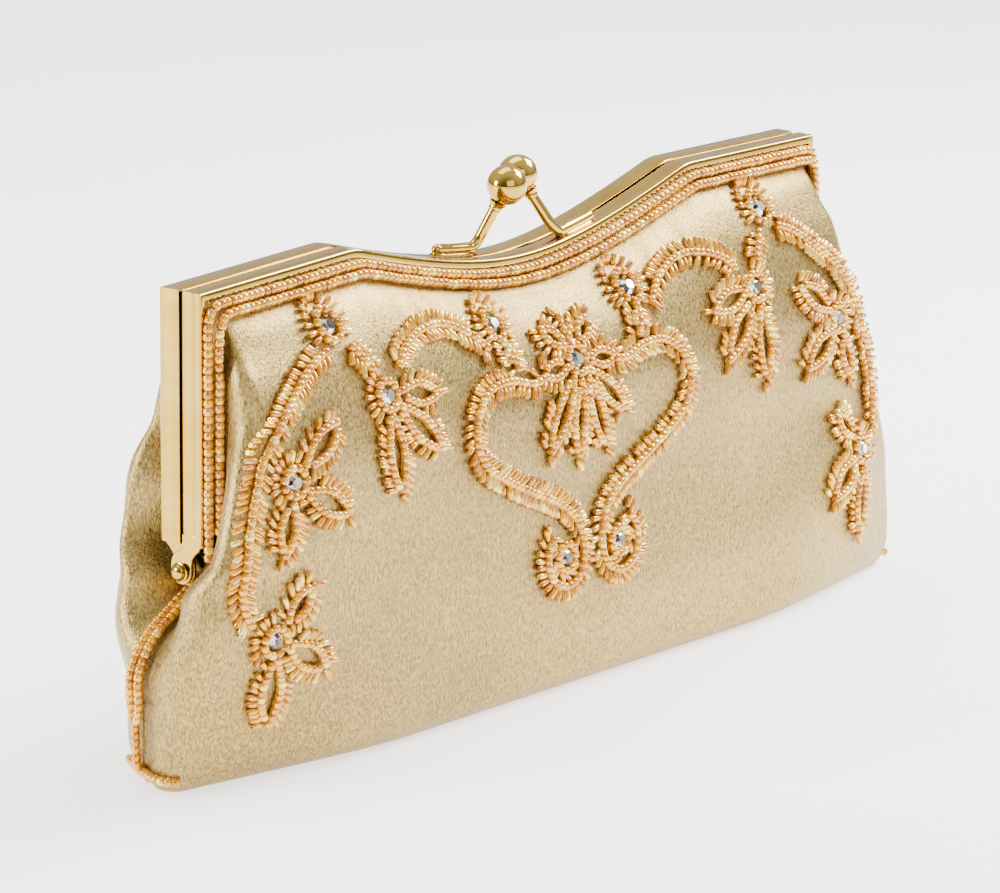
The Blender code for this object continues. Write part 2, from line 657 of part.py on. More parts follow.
def crystal(name, x, z):
    """Faceted stone, flat side to the cloth."""
    low = front_face(x, z, BEAD_LIFT)
    out = (front_face(x, z, 1.0) - front_face(x, z)).normalized()
    profile = [(0, CRYSTAL_R * 0.8), (0.5, CRYSTAL_R), (1.2, CRYSTAL_R * 0.9),
               (CRYSTAL_H, CRYSTAL_R * 0.5)]
    glass = material("crystal", (0.93, 0.90, 0.84), 0.02)
    return lathe(name, profile, low, out, glass, 10)


# ---- the bag -------------------------------------------------------------------------------------
# Pieces whose names start so belong to the pouch that stands still; the others turn on a hinge.
STANDING = ("lower_", "front_fold", "rear_fold", "hinge_rivet", "rivet_washer", "side_seam_beads",
            "heart", "low_leaves", "crystal_low_leaves", "crystal_loop", "guide_corner")


def flip(x, centre):
    return 2 * centre - x


def build_frame():
    frame_half("frame_front", -1)
    frame_half("frame_rear", 1)
    for label, side in (("left", -1), ("right", 1)):
        rivet(f"hinge_rivet_{label}", side)
        washer = Vector((side * (HALF_WIDTH + 0.2), 0, -HINGE_DROP))
        ring = [(RIVET_SHANK + GAP, 0), (2.2, 0), (2.2, 0.4), (RIVET_SHANK + GAP, 0.4)]
        turned_ring(f"rivet_washer_{label}", ring, washer, Vector((side, 0, 0)))
    packing_cord("front_packing_cord", -1)
    packing_cord("rear_packing_cord", 1)
    for which in CLASP:
        clasp(which)


def build_pouch():
    upper_panels("front")
    upper_panels("rear")
    lower_shell("lower_shell", 0.0, CLOTH, satin())
    wadding = material("wadding", (0.90, 0.89, 0.86), 0.95)
    lower_shell("lower_interlining", CLOTH + GAP, WADDING, wadding)
    lining = material("lining_cloth", (0.66, 0.56, 0.42), 0.6)
    lower_shell("lower_lining", CLOTH + WADDING + 2 * GAP, LINING, lining)


def build_beading():
    frame_beads("frame_beads_outer", 113.3, 7.2, 3.3, 7.3, -57.0)
    frame_beads("frame_beads_inner", 111.5, 8.5, 5.4, 8.9, -40.0)
    for label, side in (("left", -1), ("right", 1)):
        seam_beads(f"side_seam_beads_{label}", side)
        for name, route, centre in (("heart", HEART, HEART_X), ("inner_vine", VINE_INNER, MIRROR_X),
                                    ("outer_vine", VINE_OUTER, MIRROR_X)):
            line = [(x if side < 0 else flip(x, centre), z) for x, z in route]
            ribbon(f"{name}_{label}", line)
        for name, (x, z, base, lobes) in CLUSTERS.items():
            at = x if side < 0 else flip(x, MIRROR_X)
            cluster(f"{name}_{label}", at, z, base, lobes, -side)
            crystal(f"crystal_{name}_{label}", at, z)
        x, z = LOOP_CRYSTAL
        crystal(f"crystal_loop_{label}", x if side < 0 else flip(x, HEART_X), z)
    cluster("centre_flower", *CENTRE_FLOWER)
    crystal("crystal_centre", *CENTRE_FLOWER[:2])


def hinge_of(name):
    """Name of the hinge a piece turns on, or None for the standing pouch."""
    if name.startswith(STANDING):
        return None
    return "rear_hinge" if "rear" in name else "front_hinge"


def hang_on_hinges():
    """Parents each moving piece, and its cutters, to an empty on the hinge pins' axis."""
    axis = place((0, 0, -HINGE_DROP))
    pieces = [(item, hinge_of(item.name)) for item in bpy.data.objects]
    for hinge in ("front_hinge", "rear_hinge"):
        empty = bpy.data.objects.new(hinge, None)
        empty.empty_display_size = HALF_WIDTH / 1000.0
        empty.location = axis
        bpy.context.scene.collection.objects.link(empty)
        for item, name in pieces:
            if name == hinge:
                item.parent = empty
                item.matrix_parent_inverse = Matrix.Translation(-axis)


def clear_scene():
    for item in list(bpy.data.objects):
        bpy.data.objects.remove(item, do_unlink=True)


clear_scene()
build_frame()
build_pouch()
build_beading()
hang_on_hinges()
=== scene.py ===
"""Looks for the satin evening clutch: cloth, polished frame, beads and stones round the CAD model.

Points are in millimetres in the bag's own space (X along the bag, front towards -Y, Z = 0 at the
frame's upper corners) until they go into a mesh, in metres with the flat base at Z = 0.
"""

from math import cos, pi, radians, sin

import bmesh
import bpy
import numpy as np
from mathutils import Matrix, Vector
from mathutils.bvhtree import BVHTree


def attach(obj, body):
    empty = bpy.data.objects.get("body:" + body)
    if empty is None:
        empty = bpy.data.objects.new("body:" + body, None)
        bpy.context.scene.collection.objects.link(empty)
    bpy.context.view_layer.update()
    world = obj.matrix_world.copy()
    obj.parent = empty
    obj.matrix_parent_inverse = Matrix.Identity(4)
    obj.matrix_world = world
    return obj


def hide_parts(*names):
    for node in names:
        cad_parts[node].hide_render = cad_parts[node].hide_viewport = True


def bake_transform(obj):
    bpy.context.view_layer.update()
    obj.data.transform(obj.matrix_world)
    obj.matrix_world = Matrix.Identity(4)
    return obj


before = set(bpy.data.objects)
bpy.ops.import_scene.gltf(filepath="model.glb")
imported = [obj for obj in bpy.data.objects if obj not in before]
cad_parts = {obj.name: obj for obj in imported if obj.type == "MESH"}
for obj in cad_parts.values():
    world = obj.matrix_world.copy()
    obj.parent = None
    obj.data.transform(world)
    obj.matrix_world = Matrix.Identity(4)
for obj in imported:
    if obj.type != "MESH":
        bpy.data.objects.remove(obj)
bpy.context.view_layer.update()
rng = np.random.default_rng(7)

# ---- driving sizes (mm) ----
MM = 0.001
HALF_WIDTH = 115.0
BAG_DROP = 110.0
HALF_DEPTH, HALF_GAP = 6.0, 0.25
LEG_END, HINGE_DROP = 57.0, 63.25
LIP_TOP, LIP_LEG, INNER_LIP = 2.0, 1.3, 3.2   # edges of the frame's channel
EAR_HALF, EAR_SHEET = 2.9, 0.85
FRONT_EAR_X, REAR_EAR_X = 114.95, 113.8
RIVET_HEAD, RIVET_SHANK = 1.9, 0.8
SATIN, LINING = 0.5, 0.4               # cloth thicknesses
LINING_SKIN = 2.6                      # how deep the lining lies behind the satin
SATIN_FINE, LINING_FINE = 51, 34       # how finely the cloth is divided
SEAM_GAP = 0.3                         # least distance of the cloth from the seam's plane
CORNER_FAN = 3.0
SEED_R, SEED_LEN = 1.05, 1.75
FRAME_BEAD_R, FRAME_BEAD_LEN = 1.14, 1.80
BUGLE_R, BUGLE_LEN = 0.74, 2.9
STONE_R, RING_R = 2.15, 3.1            # a stone, and the ring of seed beads round it
FOLD_LOW, FOLD_HIGH = -68.0, -46.0     # stones between these heights stay unattached; lower ones go with the pouch, higher ones with the front frame

# ---- camera, fitted to the view (in half frame widths and degrees) ----
CAM_AZIMUTH, CAM_ELEVATION, CAM_ROLL = 52.0, 14.595, -0.566
CAM_DISTANCE, CAM_ACROSS, CAM_UP = 11.266, -0.01027, -0.48601
CAM_LENS = 201.3


def make_camera():
    a, e, r = radians(CAM_AZIMUTH), radians(CAM_ELEVATION), radians(CAM_ROLL)
    right = Vector((cos(a), -sin(a), 0.0))
    ahead = Vector((sin(a) * cos(e), cos(a) * cos(e), -sin(e)))
    up = right.cross(ahead)
    place = (right * CAM_ACROSS + up * CAM_UP - ahead * CAM_DISTANCE) * HALF_WIDTH * MM
    place.z += BAG_DROP * MM
    data = bpy.data.cameras.new("camera")
    data.lens = CAM_LENS
    data.sensor_width = 36.0
    data.clip_start, data.clip_end = 0.05, 20.0
    camera = bpy.data.objects.new("camera", data)
    bpy.context.scene.collection.objects.link(camera)
    axes = Matrix((cos(r) * right - sin(r) * up, sin(r) * right + cos(r) * up, -ahead)).transposed()
    camera.matrix_world = Matrix.Translation(place) @ axes.to_4x4()
    bpy.context.scene.camera = camera


# ---- the bag's shape ----
def smooth_curve(stations):
    """Function for the smooth monotone curve through (position, value) stations."""
    xs, ys = np.array(stations, float).T
    steps = np.diff(xs)
    secants = np.diff(ys) / steps
    slopes = np.concatenate(([secants[0]], np.zeros(len(xs) - 2), [secants[-1]]))
    both = secants[:-1] * secants[1:]
    total = np.where(both > 0, secants[:-1] + secants[1:], 1.0)
    slopes[1:-1] = np.where(both > 0, 2 * both / total, 0.0)

    def value(v):
        v = np.clip(v, xs[0], xs[-1])
        k = np.clip(np.searchsorted(xs, v, side="right") - 1, 0, len(steps) - 1)
        t, h = (v - xs[k]) / steps[k], steps[k]
        return ((1 + 2 * t) * (1 - t) ** 2 * ys[k] + t * (1 - t) ** 2 * h * slopes[k]
                + t * t * (3 - 2 * t) * ys[k + 1] + t * t * (t - 1) * h * slopes[k + 1])

    return value


FRONT_DEPTH = smooth_curve([(0, 5.0), (2.4, 5.0), (4.3, 6.1), (6.5, 7.9), (11, 12.6), (20, 18.0),
                            (30, 21.6), (42, 24.4), (58, 25.6), (75, 26.0), (92, 25.4),
                            (110, 22.8)])
REAR_DEPTH = smooth_curve([(0, 5.0), (2.4, 5.0), (6, 8.0), (15, 13.6), (28, 19.6), (42, 24.0),
                           (58, 25.4), (75, 25.4), (90, 23.6), (100, 21.6), (110, 19.5)])
SIDE_REACH = smooth_curve([(0, 109.5), (12, 111), (27, 113), (36, 117), (52, 122.5), (60, 126),
                           (70, 128), (84, 129.4), (100, 129), (110, 127.5)])
SEAM_REACH = smooth_curve([(0, 109), (58, 109), (63, 108.6), (67, 107.3), (70, 109.3), (73, 115),
                           (76, 121), (79, 124.6), (85, 127.4), (92, 126.6), (110, 125)])
BASE_ROUND, BASE_SHIFT, BASE_TWIST, PINCH_WIDTH = 7.0, -4.0, -0.05, 6.5


def fade(start, end, value):
    t = np.clip((value - start) / (end - start), 0.0, 1.0)
    return t * t * (3 - 2 * t)


def frame_top(x):
    """Height of the frame's top edge: straight shoulders with a dip at the middle."""
    x = np.abs(x)
    dip = -10.4 + 12.6 * (np.sqrt(1 + (x / 38.0) ** 2) - 1)
    shoulder = 1.15 - 0.0226 * (x - 63.5)
    near = np.maximum(0.0, 0.8 - np.abs(dip - shoulder)) / 0.8
    return np.minimum(dip, shoulder) - near * near * 0.2


def askew(x, drop):
    return fade(58, BAG_DROP, drop) * (BASE_SHIFT + BASE_TWIST * x)


def seam_depth(drop):
    """Half depth at the side edge: the frame leg's, closing to nothing below the hinge."""
    return (5.0 + 1.5 * fade(2.4, 6, drop)) * (1 - fade(56, 66, drop))


def half_columns(fine):
    """Columns of a half section: depth fractions round the boxed end, reach fractions on the flat."""
    ends = np.linspace(0, 1, fine)
    return 0.82 * ends ** 1.3, np.linspace(0.79, 0.0, int(fine * 2.2))


def section(drop, rear, skin, columns):
    """Half section from the seam to the middle, for a column of drops: x and depth arrays."""
    depth = (REAR_DEPTH if rear else FRONT_DEPTH)(drop) - skin
    reach = SIDE_REACH(drop) - skin
    if rear:
        reach = reach - 3.0 * fade(40, 60, drop) - 4.0 * fade(72, 92, drop)
    seam = SEAM_REACH(drop) - skin
    start = seam_depth(drop) - skin * (1 - fade(2.4, 12, drop))
    power = (3.4 if rear else 6.5) + 2.5 * fade(85, 108, drop)
    ends, face = columns
    angle = np.concatenate((np.arcsin(ends[None, :] ** (power[:, None] / 2)),
                            np.arccos(face[None, :] ** (power[:, None] / 2))), axis=1)
    power, drop = power[:, None], drop[:, None]
    across = np.maximum(0.0, np.cos(angle)) ** (2 / power)
    out = np.sin(angle) ** (2 / power)
    y = start[:, None] + np.maximum(0.0, depth - start)[:, None] * out
    pinch = np.exp(-((y - start[:, None]) / PINCH_WIDTH) ** 2)
    x = reach[:, None] * across - (reach - seam)[:, None] * pinch * np.minimum(1.0, across / 0.6)
    y = y * (1 - 0.32 * fade(70, 108, drop) * fade(60, 127, x))
    low = np.clip((drop - (BAG_DROP - BASE_ROUND)) / BASE_ROUND, 0.0, 1.0)
    inset = BASE_ROUND * (1 - np.sqrt(1 - low ** 2))
    return np.maximum(0.0, x - 0.25 * inset * across), y - 0.6 * inset * out


FLANGE = ((113.8, 4.9), (112.6, 5.3), (111.3, 5.6))   # in the leg channel: (x, depth)


def cloth_grid(drops, rear, skin, fine):
    """Grid of points on one side of the pouch, from the left edge to the right, top to base.

    Its outer columns are the flange that is wedged into the leg channel; below the legs they
    run together into the side seam.
    """
    drops = np.array(drops, float)
    x, depth = section(drops, rear, skin, half_columns(fine))
    let_go = fade(50, LEG_END, drops)
    seam = seam_depth(drops)
    tuck_x, tuck_y = [], []
    for flange_x, flange_y in FLANGE:
        y = np.minimum(flange_y, seam) - min(skin, 1.1)
        tuck_x.append(flange_x + (x[:, 0] - flange_x) * let_go)
        tuck_y.append(y + (depth[:, 0] - y) * let_go)
    x = np.concatenate((np.stack(tuck_x, axis=1), x), axis=1)
    # A soft least depth keeps growing away from the seam; a sharp one let the outline turn back.
    depth = np.hypot(SEAM_GAP, np.concatenate((np.stack(tuck_y, axis=1), depth), axis=1))
    x = np.concatenate((-x, x[:, -2::-1]), axis=1)
    depth = np.concatenate((depth, depth[:, -2::-1]), axis=1)
    drop = drops[:, None]
    squeeze = 1 - skin / (BAG_DROP - 68.0) * fade(68, BAG_DROP, drop)
    z = -drop * squeeze + frame_top(x) * (1 - fade(0, 45, drop))
    y = (depth if rear else -depth) + askew(x, drop)
    return np.stack((x, y, z), axis=2)


# ---- mesh helpers ----
def to_world(points):
    return (np.asarray(points, float) + (0.0, 0.0, BAG_DROP)) * MM


def make_mesh(name, points, faces, materials, tints=None, angle=None):
    """Smooth object from points in bag millimetres; tints gives each face its material's index."""
    mesh = bpy.data.meshes.new(name)
    mesh.from_pydata(to_world(points).tolist(), [], [tuple(int(i) for i in f) for f in faces])
    for mat in materials:
        mesh.materials.append(mat)
    if tints is not None:
        mesh.polygons.foreach_set("material_index", np.asarray(tints, np.int32))
    mesh.shade_smooth()
    if angle:
        mesh.set_sharp_from_angle(angle=angle)
    mesh.update()
    item = bpy.data.objects.new(name, mesh)
    bpy.context.scene.collection.objects.link(item)
    return item


def grid_faces(rows, columns, wrap=False):
    r, c = np.meshgrid(np.arange(rows - 1), np.arange(columns if wrap else columns - 1),
                       indexing="ij")
    d = (c + 1) % columns
    return np.stack((r * columns + c, r * columns + d, (r + 1) * columns + d,
                     (r + 1) * columns + c), axis=2).reshape(-1, 4)


def outward(item):
    work = bmesh.new()
    work.from_mesh(item.data)
    bmesh.ops.recalc_face_normals(work, faces=work.faces)
    work.to_mesh(item.data)
    work.free()
    return item


def loft(name, rings, materials, angle=None):
    """Skin through rings of points, closed at both ends."""
    rings = np.asarray(rings, float)
    rows, columns = rings.shape[:2]
    faces = [tuple(f) for f in grid_faces(rows, columns, True)]
    faces += [tuple(range(columns)), tuple(range((rows - 1) * columns, rows * columns))]
    return outward(make_mesh(name, rings.reshape(-1, 3), faces, materials, angle=angle))


def axes_about(direction):
    """Unit vector along a direction and two across it."""
    axis = Vector(direction).normalized()
    side = axis.orthogonal().normalized()
    return axis, side, axis.cross(side)


def circle(sides, side, other):
    """Unit circle in the plane of two vectors."""
    turns = np.linspace(0, 2 * pi, sides, endpoint=False)[:, None]
    return np.cos(turns) * np.array(side) + np.sin(turns) * np.array(other)


def lathe(name, profile, start, direction, materials, sides=48, angle=0.7):
    """Turned piece: profile is (along, radius) from end to end."""
    axis, side, other = axes_about(direction)
    ring = circle(sides, side, other)
    rings = [np.array(start) + np.array(axis) * along + ring * radius for along, radius in profile]
    return loft(name, rings, materials, angle)


def smooth_path(points, per_span=8):
    """Catmull-Rom curve through the given points, as an array."""
    pts = np.asarray(points, float)
    pts = np.vstack((2 * pts[0] - pts[1], pts, 2 * pts[-1] - pts[-2]))
    t = np.linspace(0, 1, per_span, endpoint=False)[:, None]
    out = []
    for a, b, c, d in zip(pts, pts[1:], pts[2:], pts[3:]):
        out.append(0.5 * (2 * b + (c - a) * t + (2 * a - 5 * b + 4 * c - d) * t ** 2
                          + (3 * b - a - 3 * c + d) * t ** 3))
    return np.vstack(out + [pts[-2:-1]])


def tube(name, path, radii, materials, sides):
    """Round wire along a path, with a radius at each point."""
    path = np.asarray(path, float)
    rings, side = [], None
    for i, point in enumerate(path):
        tangent = path[min(i + 1, len(path) - 1)] - path[max(i - 1, 0)]
        tangent /= np.linalg.norm(tangent)
        guide = side if side is not None else np.array((0.0, 1.0, 0.0))
        side = guide - tangent * guide.dot(tangent)
        side /= np.linalg.norm(side)
        rings.append(point + radii[i] * circle(sides, side, np.cross(tangent, side)))
    return loft(name, rings, materials)


# ---- materials ----
def ramp_node(nodes, stops):
    """Colour ramp through (place, colour) stops; Blender would clamp a place outside 0 to 1."""
    assert all(0.0 <= place <= 1.0 for place, _ in stops), "a ramp's stops lie from 0 to 1"
    node = nodes.new("ShaderNodeValToRGB")
    band = node.color_ramp.elements
    while len(band) < len(stops):
        band.new(0.5)
    for element, (place, colour) in zip(band, stops):
        element.position = place
        element.color = (*colour, 1.0)
    return node


class Shader:
    """Small wrapper to build a node material line by line."""

    def __init__(self, name, **values):
        self.mat = bpy.data.materials.new(name)
        self.mat.use_nodes = True
        self.nodes = self.mat.node_tree.nodes
        self.links = self.mat.node_tree.links
        self.main = self.nodes["Principled BSDF"]
        for key, value in values.items():
            self.main.inputs[key.replace("_", " ")].default_value = value

    def add(self, kind, **values):
        node = self.nodes.new(kind)
        for key, value in values.items():
            if key in node.inputs:
                node.inputs[key].default_value = value
            else:
                setattr(node, key, value)
        return node

    def link(self, source, output, target, entry):
        self.links.new(source.outputs[output], target.inputs[entry])

    def noise(self, scale, detail=4.0, stretch=None, roughness=0.55):
        """Noise in object space; stretch scales the axes."""
        place = self.add("ShaderNodeTexCoord")
        spread = self.add("ShaderNodeMapping")
        spread.inputs["Scale"].default_value = stretch or (1.0, 1.0, 1.0)
        node = self.add("ShaderNodeTexNoise", Scale=scale, Detail=detail, Roughness=roughness)
        self.link(place, "Object", spread, "Vector")
        self.link(spread, "Vector", node, "Vector")
        return node

    def ramp(self, source, output, stops):
        node = ramp_node(self.nodes, stops)
        self.link(source, output, node, "Fac")
        return node

    def paint(self, source, stops):
        """Base colour from a noise."""
        colour = self.ramp(source, "Fac", stops)
        self.link(colour, "Color", self.main, "Base Color")
        return colour

    def bump(self, source, strength, distance):
        node = self.add("ShaderNodeBump", Strength=strength, Distance=distance)
        self.link(source, "Fac", node, "Height")
        self.link(node, "Normal", self.main, "Normal")


def grey(v):
    return (v, v, v)


def satin_material(name, light, dark, roughness):
    """Satin-weave cloth: lustrous warp grain, short dark slubs and slight shade changes."""
    s = Shader(name, Roughness=roughness, Metallic=0.78, Sheen_Weight=0.04, Sheen_Roughness=0.35)
    s.main.inputs["Sheen Tint"].default_value = (1.0, 0.92, 0.78, 1.0)
    s.main.inputs["Specular IOR Level"].default_value = 0.6
    fibre = s.noise(2100.0, 2.0, (1.0, 1.0, 0.45), 0.7)
    shade = s.noise(14.0, 2.0)
    soft = s.add("ShaderNodeMath", operation="MULTIPLY")
    s.link(shade, "Fac", soft, 0)
    soft.inputs[1].default_value = 0.2
    mix = s.add("ShaderNodeMath", operation="MULTIPLY_ADD")
    s.link(fibre, "Fac", mix, 0)
    mix.inputs[1].default_value = 0.8
    s.link(soft, "Value", mix, 2)
    colour = s.ramp(mix, "Value", [(0.41, dark), (0.60, light)])
    slub = s.noise(2300.0, 1.0, (1.0, 1.0, 0.30))
    ticks = s.ramp(slub, "Fac", [(0.63, grey(1.0)), (0.73, grey(0.50))])
    blend = s.add("ShaderNodeMix", data_type="RGBA", blend_type="MULTIPLY")
    blend.inputs["Factor"].default_value = 1.0
    s.links.new(colour.outputs["Color"], blend.inputs["A"])
    s.links.new(ticks.outputs["Color"], blend.inputs["B"])
    s.links.new(blend.outputs["Result"], s.main.inputs["Base Color"])
    rough = s.ramp(fibre, "Fac", [(0.3, grey(roughness - 0.08)), (0.7, grey(roughness + 0.10))])
    s.link(rough, "Color", s.main, "Roughness")
    s.bump(fibre, 0.8, 0.00022)
    return s.mat


def gold_material():
    """Polished gold plate with faint wipe marks."""
    s = Shader("gold_plate", Metallic=1.0, Roughness=0.08)
    marks = s.noise(55.0, 5.0, (1.0, 1.0, 3.0))
    s.paint(marks, [(0.3, (0.48, 0.295, 0.042)), (0.7, (0.60, 0.385, 0.070))])
    rough = s.ramp(marks, "Fac", [(0.35, grey(0.05)), (0.75, grey(0.14))])
    s.link(rough, "Color", s.main, "Roughness")
    s.bump(s.noise(420.0, 3.0), 0.02, 0.0001)
    return s.mat


def bead_material(name, deep, light, film):
    """Lined glass bead: a painted glow (weak emission in the bead's own colour) stands in for light
    passing through the glass; glossy coat, thin film.
    """
    s = Shader(name, Metallic=0.7, Roughness=0.20, IOR=1.5, Coat_Weight=0.7, Coat_Roughness=0.03)
    s.main.inputs["Thin Film Thickness"].default_value = film
    s.main.inputs["Thin Film IOR"].default_value = 1.35
    colour = s.paint(s.noise(700.0, 2.0), [(0.35, deep), (0.68, light)])
    # Painted glow: the bead colour is also emitted weakly, which lightens the shade between beads.
    s.link(colour, "Color", s.main, "Emission Color")
    s.main.inputs["Emission Strength"].default_value = 0.11
    return s.mat


def stone_material(name, deep, light):
    """Foiled glass: a mirror-like metal that reflects the room, with painted reflections on top: each
    facet's colour is painted bright, middle or dark.
    """
    s = Shader(name, Metallic=0.95, Roughness=0.04)
    s.paint(s.noise(900.0, 1.0), [(0.35, deep), (0.65, light)])
    return s.mat


def plain_material(name, dark, light, roughness, scale):
    """Matt, slightly uneven surface."""
    s = Shader(name, Roughness=roughness)
    grain = s.noise(scale, 4.0)
    s.paint(grain, [(0.3, dark), (0.7, light)])
    s.bump(grain, 0.4, 0.0003)
    return s.mat


SATIN_MAT = satin_material("satin_front_cloth", (0.53, 0.365, 0.108), (0.22, 0.148, 0.038), 0.33)
LINING_MAT = satin_material("lining_twill", (0.52, 0.40, 0.20), (0.38, 0.28, 0.13), 0.55)
GOLD = gold_material()
BEAD_MATS = [
    bead_material("bead_gold", (0.56, 0.235, 0.001), (0.90, 0.46, 0.006), 0.0),
    bead_material("bead_amber", (0.42, 0.145, 0.001), (0.72, 0.31, 0.002), 0.0),
    bead_material("bead_pink", (0.58, 0.24, 0.03), (0.88, 0.44, 0.12), 420.0),
    bead_material("bead_pale", (0.80, 0.48, 0.03), (1.0, 0.76, 0.17), 0.0),
]
# Painted reflections: bright, middle and dark facet colours stand in for the parts of the room that a
# foiled facet would mirror.
STONES = [
    stone_material("stone_painted_bright_reflection", (0.80, 0.78, 0.74), (0.98, 0.97, 0.94)),
    stone_material("stone_painted_middle_reflection", (0.34, 0.32, 0.30), (0.55, 0.52, 0.48)),
    stone_material("stone_painted_dark_reflection", (0.07, 0.065, 0.06), (0.18, 0.16, 0.14)),
]
PAPER = plain_material("twisted_paper", (0.42, 0.32, 0.20), (0.56, 0.44, 0.30), 0.9, 600.0)


# ---- cloth ----
# Creases as (x1, z1, x2, z2, half width, height): soft ridges and valleys on one side of the pouch.
FRONT_CREASES = [
    (-110, -20, -104, -44, 4.0, -1.2), (-106, -12, -100, -30, 4.0, 0.9),
    (-111, -46, -118, -62, 4.5, 1.0), (110, -20, 104, -42, 4.0, -1.0),
    (-60, -100, 70, -103, 7.0, 0.5), (20, -92, 90, -86, 9.0, -0.4),
]
REAR_CREASES = [
    (-108, -34, -84, -52, 5.0, 1.3), (-108, -46, -84, -64, 5.0, -1.3),
    (-110, -60, -88, -76, 5.0, 1.2), (-112, -76, -92, -88, 5.0, -0.9),
    (108, -36, 84, -52, 5.0, 1.2), (108, -50, 84, -70, 5.0, -1.1),
    (112, -72, 90, -84, 5.0, 0.9), (-30, -40, 50, -52, 12, 0.8),
]


def relief(points, creases, seed):
    """Height of creases, gathers under the frame and a gentle unevenness of the padding."""
    x, z = points[..., 0], points[..., 2]
    height = np.zeros_like(x)
    for x1, z1, x2, z2, width, tall in creases:
        run = np.array((x2 - x1, z2 - z1), float)
        t = np.clip(((x - x1) * run[0] + (z - z1) * run[1]) / run.dot(run), 0, 1)
        away = np.hypot(x - x1 - t * run[0], z - z1 - t * run[1])
        height += tall * np.exp(-(away / width) ** 2)
    drop = -z + frame_top(x)
    gathers = np.sin(x * 0.42 + seed) + 0.7 * np.sin(x * 0.91 + 2.1 * seed)
    height += 0.10 * gathers * fade(4, 12, drop) * (1 - fade(14, 34, drop))
    height += 0.35 * np.sin(x * 0.071 + seed) * np.sin(z * 0.093 + 1.3 * seed) * fade(10, 30, drop)
    return height * fade(2.0, 10.0, drop) * (1 - fade(104, 109, -z))


def displaced(points, creases, seed, outside):
    """Moves a grid of points along its normals by the relief."""
    along = np.gradient(points, axis=1)
    down = np.gradient(points, axis=0)
    normal = np.cross(along, down)
    normal /= np.maximum(np.linalg.norm(normal, axis=2, keepdims=True), 1e-9)
    count = points.shape[1]
    from_edge = np.minimum(np.arange(count), np.arange(count)[::-1])[None, :]
    held = (1 - fade(3, 12, from_edge)) * (1 - fade(50, 64, -points[..., 2]))
    height = relief(points, creases, seed) * (1 - held)
    return points + outside * normal * height[..., None]


def base_rows(points, count=6):
    """Rows that close the flat base towards its middle line."""
    edge = points[-1]
    middle = edge.copy()
    # The boxed corners fan out from a point inside the seam, where the outline dips inwards.
    middle[:, 0] = np.clip(edge[:, 0], edge[0, 0] + CORNER_FAN, edge[-1, 0] - CORNER_FAN)
    middle[:, 1] = askew(middle[:, 0], BAG_DROP)
    shares = np.linspace(0, 1, count + 1)[1:, None, None]
    return np.concatenate((points, edge + (middle - edge) * shares), axis=0)


def merge_coincident(item):
    """Below the legs the flange runs into the seam; this removes its faces without area."""
    work = bmesh.new()
    work.from_mesh(item.data)
    bmesh.ops.remove_doubles(work, verts=work.verts, dist=2e-6)
    work.to_mesh(item.data)
    work.free()
    item.data.shade_smooth()


def pouch_side(name, rear, skin, fine, mat, thickness):
    """One side of the pouch from the frame to the middle of the base."""
    drops = np.concatenate((np.linspace(0.8, 8, 2 * fine // 5, endpoint=False),
                            np.linspace(8, 100, 2 * fine, endpoint=False),
                            np.linspace(100, 109, fine // 4, endpoint=False),
                            BAG_DROP - 1.0 * np.linspace(1, 0, 5) ** 2))
    points = cloth_grid(drops, rear, skin, fine)
    outside = -1 if rear else 1
    points = displaced(points, REAR_CREASES if rear else FRONT_CREASES, 1.7 if rear else 0.6,
                       outside)
    points = base_rows(points)
    rows, columns = points.shape[:2]
    item = make_mesh(name, points.reshape(-1, 3), grid_faces(rows, columns), [mat])
    if (item.data.polygons[columns * 40 + columns // 2].normal.y > 0) != rear:
        item.data.flip_normals()
    merge_coincident(item)
    thick = item.modifiers.new("thickness", "SOLIDIFY")
    thick.thickness = thickness * MM
    thick.offset = -1.0
    return item


def bend_with(item):
    """Bakes the piece's placement into its mesh; the piece does not bend with the frame."""
    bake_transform(item)


make_camera()
satin_front = pouch_side("satin_front", False, 0.0, SATIN_FINE, SATIN_MAT, SATIN)
satin_rear = pouch_side("satin_rear", True, 0.0, SATIN_FINE, SATIN_MAT, SATIN)
lining_front = pouch_side("lining_cloth_front", False, LINING_SKIN, LINING_FINE, LINING_MAT, LINING)
lining_rear = pouch_side("lining_cloth_rear", True, LINING_SKIN, LINING_FINE, LINING_MAT, LINING)
cloth_tree = BVHTree.FromObject(satin_front, bpy.context.evaluated_depsgraph_get())


def on_satin(x, z):
    """(point, normal) in mm on the satin front at (x, z)."""
    start = Vector((x, -60.0, z + BAG_DROP)) * MM
    hit, normal, _, _ = cloth_tree.ray_cast(start, Vector((0, 1, 0)))
    if hit is None:
        hit, normal, _, _ = cloth_tree.find_nearest(Vector((x, -24.0, z + BAG_DROP)) * MM)
    if normal.y > 0:
        normal = -normal
    return np.array(hit) / MM - (0, 0, BAG_DROP), np.array(normal)


# ---- beads ----
def bead_rings(length, radius, sides, bore):
    """Points of one bead lying along X, rounded at the edges, with a dimple for its hole."""
    h = length / 2
    profile = [(-h + 0.25, bore * 0.8), (-h, bore), (-h, radius * 0.72), (-h * 0.72, radius * 0.96),
               (0, radius), (h * 0.72, radius * 0.96), (h, radius * 0.72), (h, bore),
               (h - 0.25, bore * 0.8)]
    ring = circle(sides, (0, 1, 0), (0, 0, 1))
    points = np.concatenate([(a, 0, 0) + r * ring for a, r in profile])
    faces = grid_faces(len(profile), sides, True)
    caps = [list(range(sides))[::-1], list(range(len(points) - sides, len(points)))]
    return points, faces, caps


SEED = bead_rings(SEED_LEN, SEED_R, 12, 0.38)
FRAME_BEAD = bead_rings(FRAME_BEAD_LEN, FRAME_BEAD_R, 14, 0.4)
BUGLE = bead_rings(BUGLE_LEN, BUGLE_R, 10, 0.34)


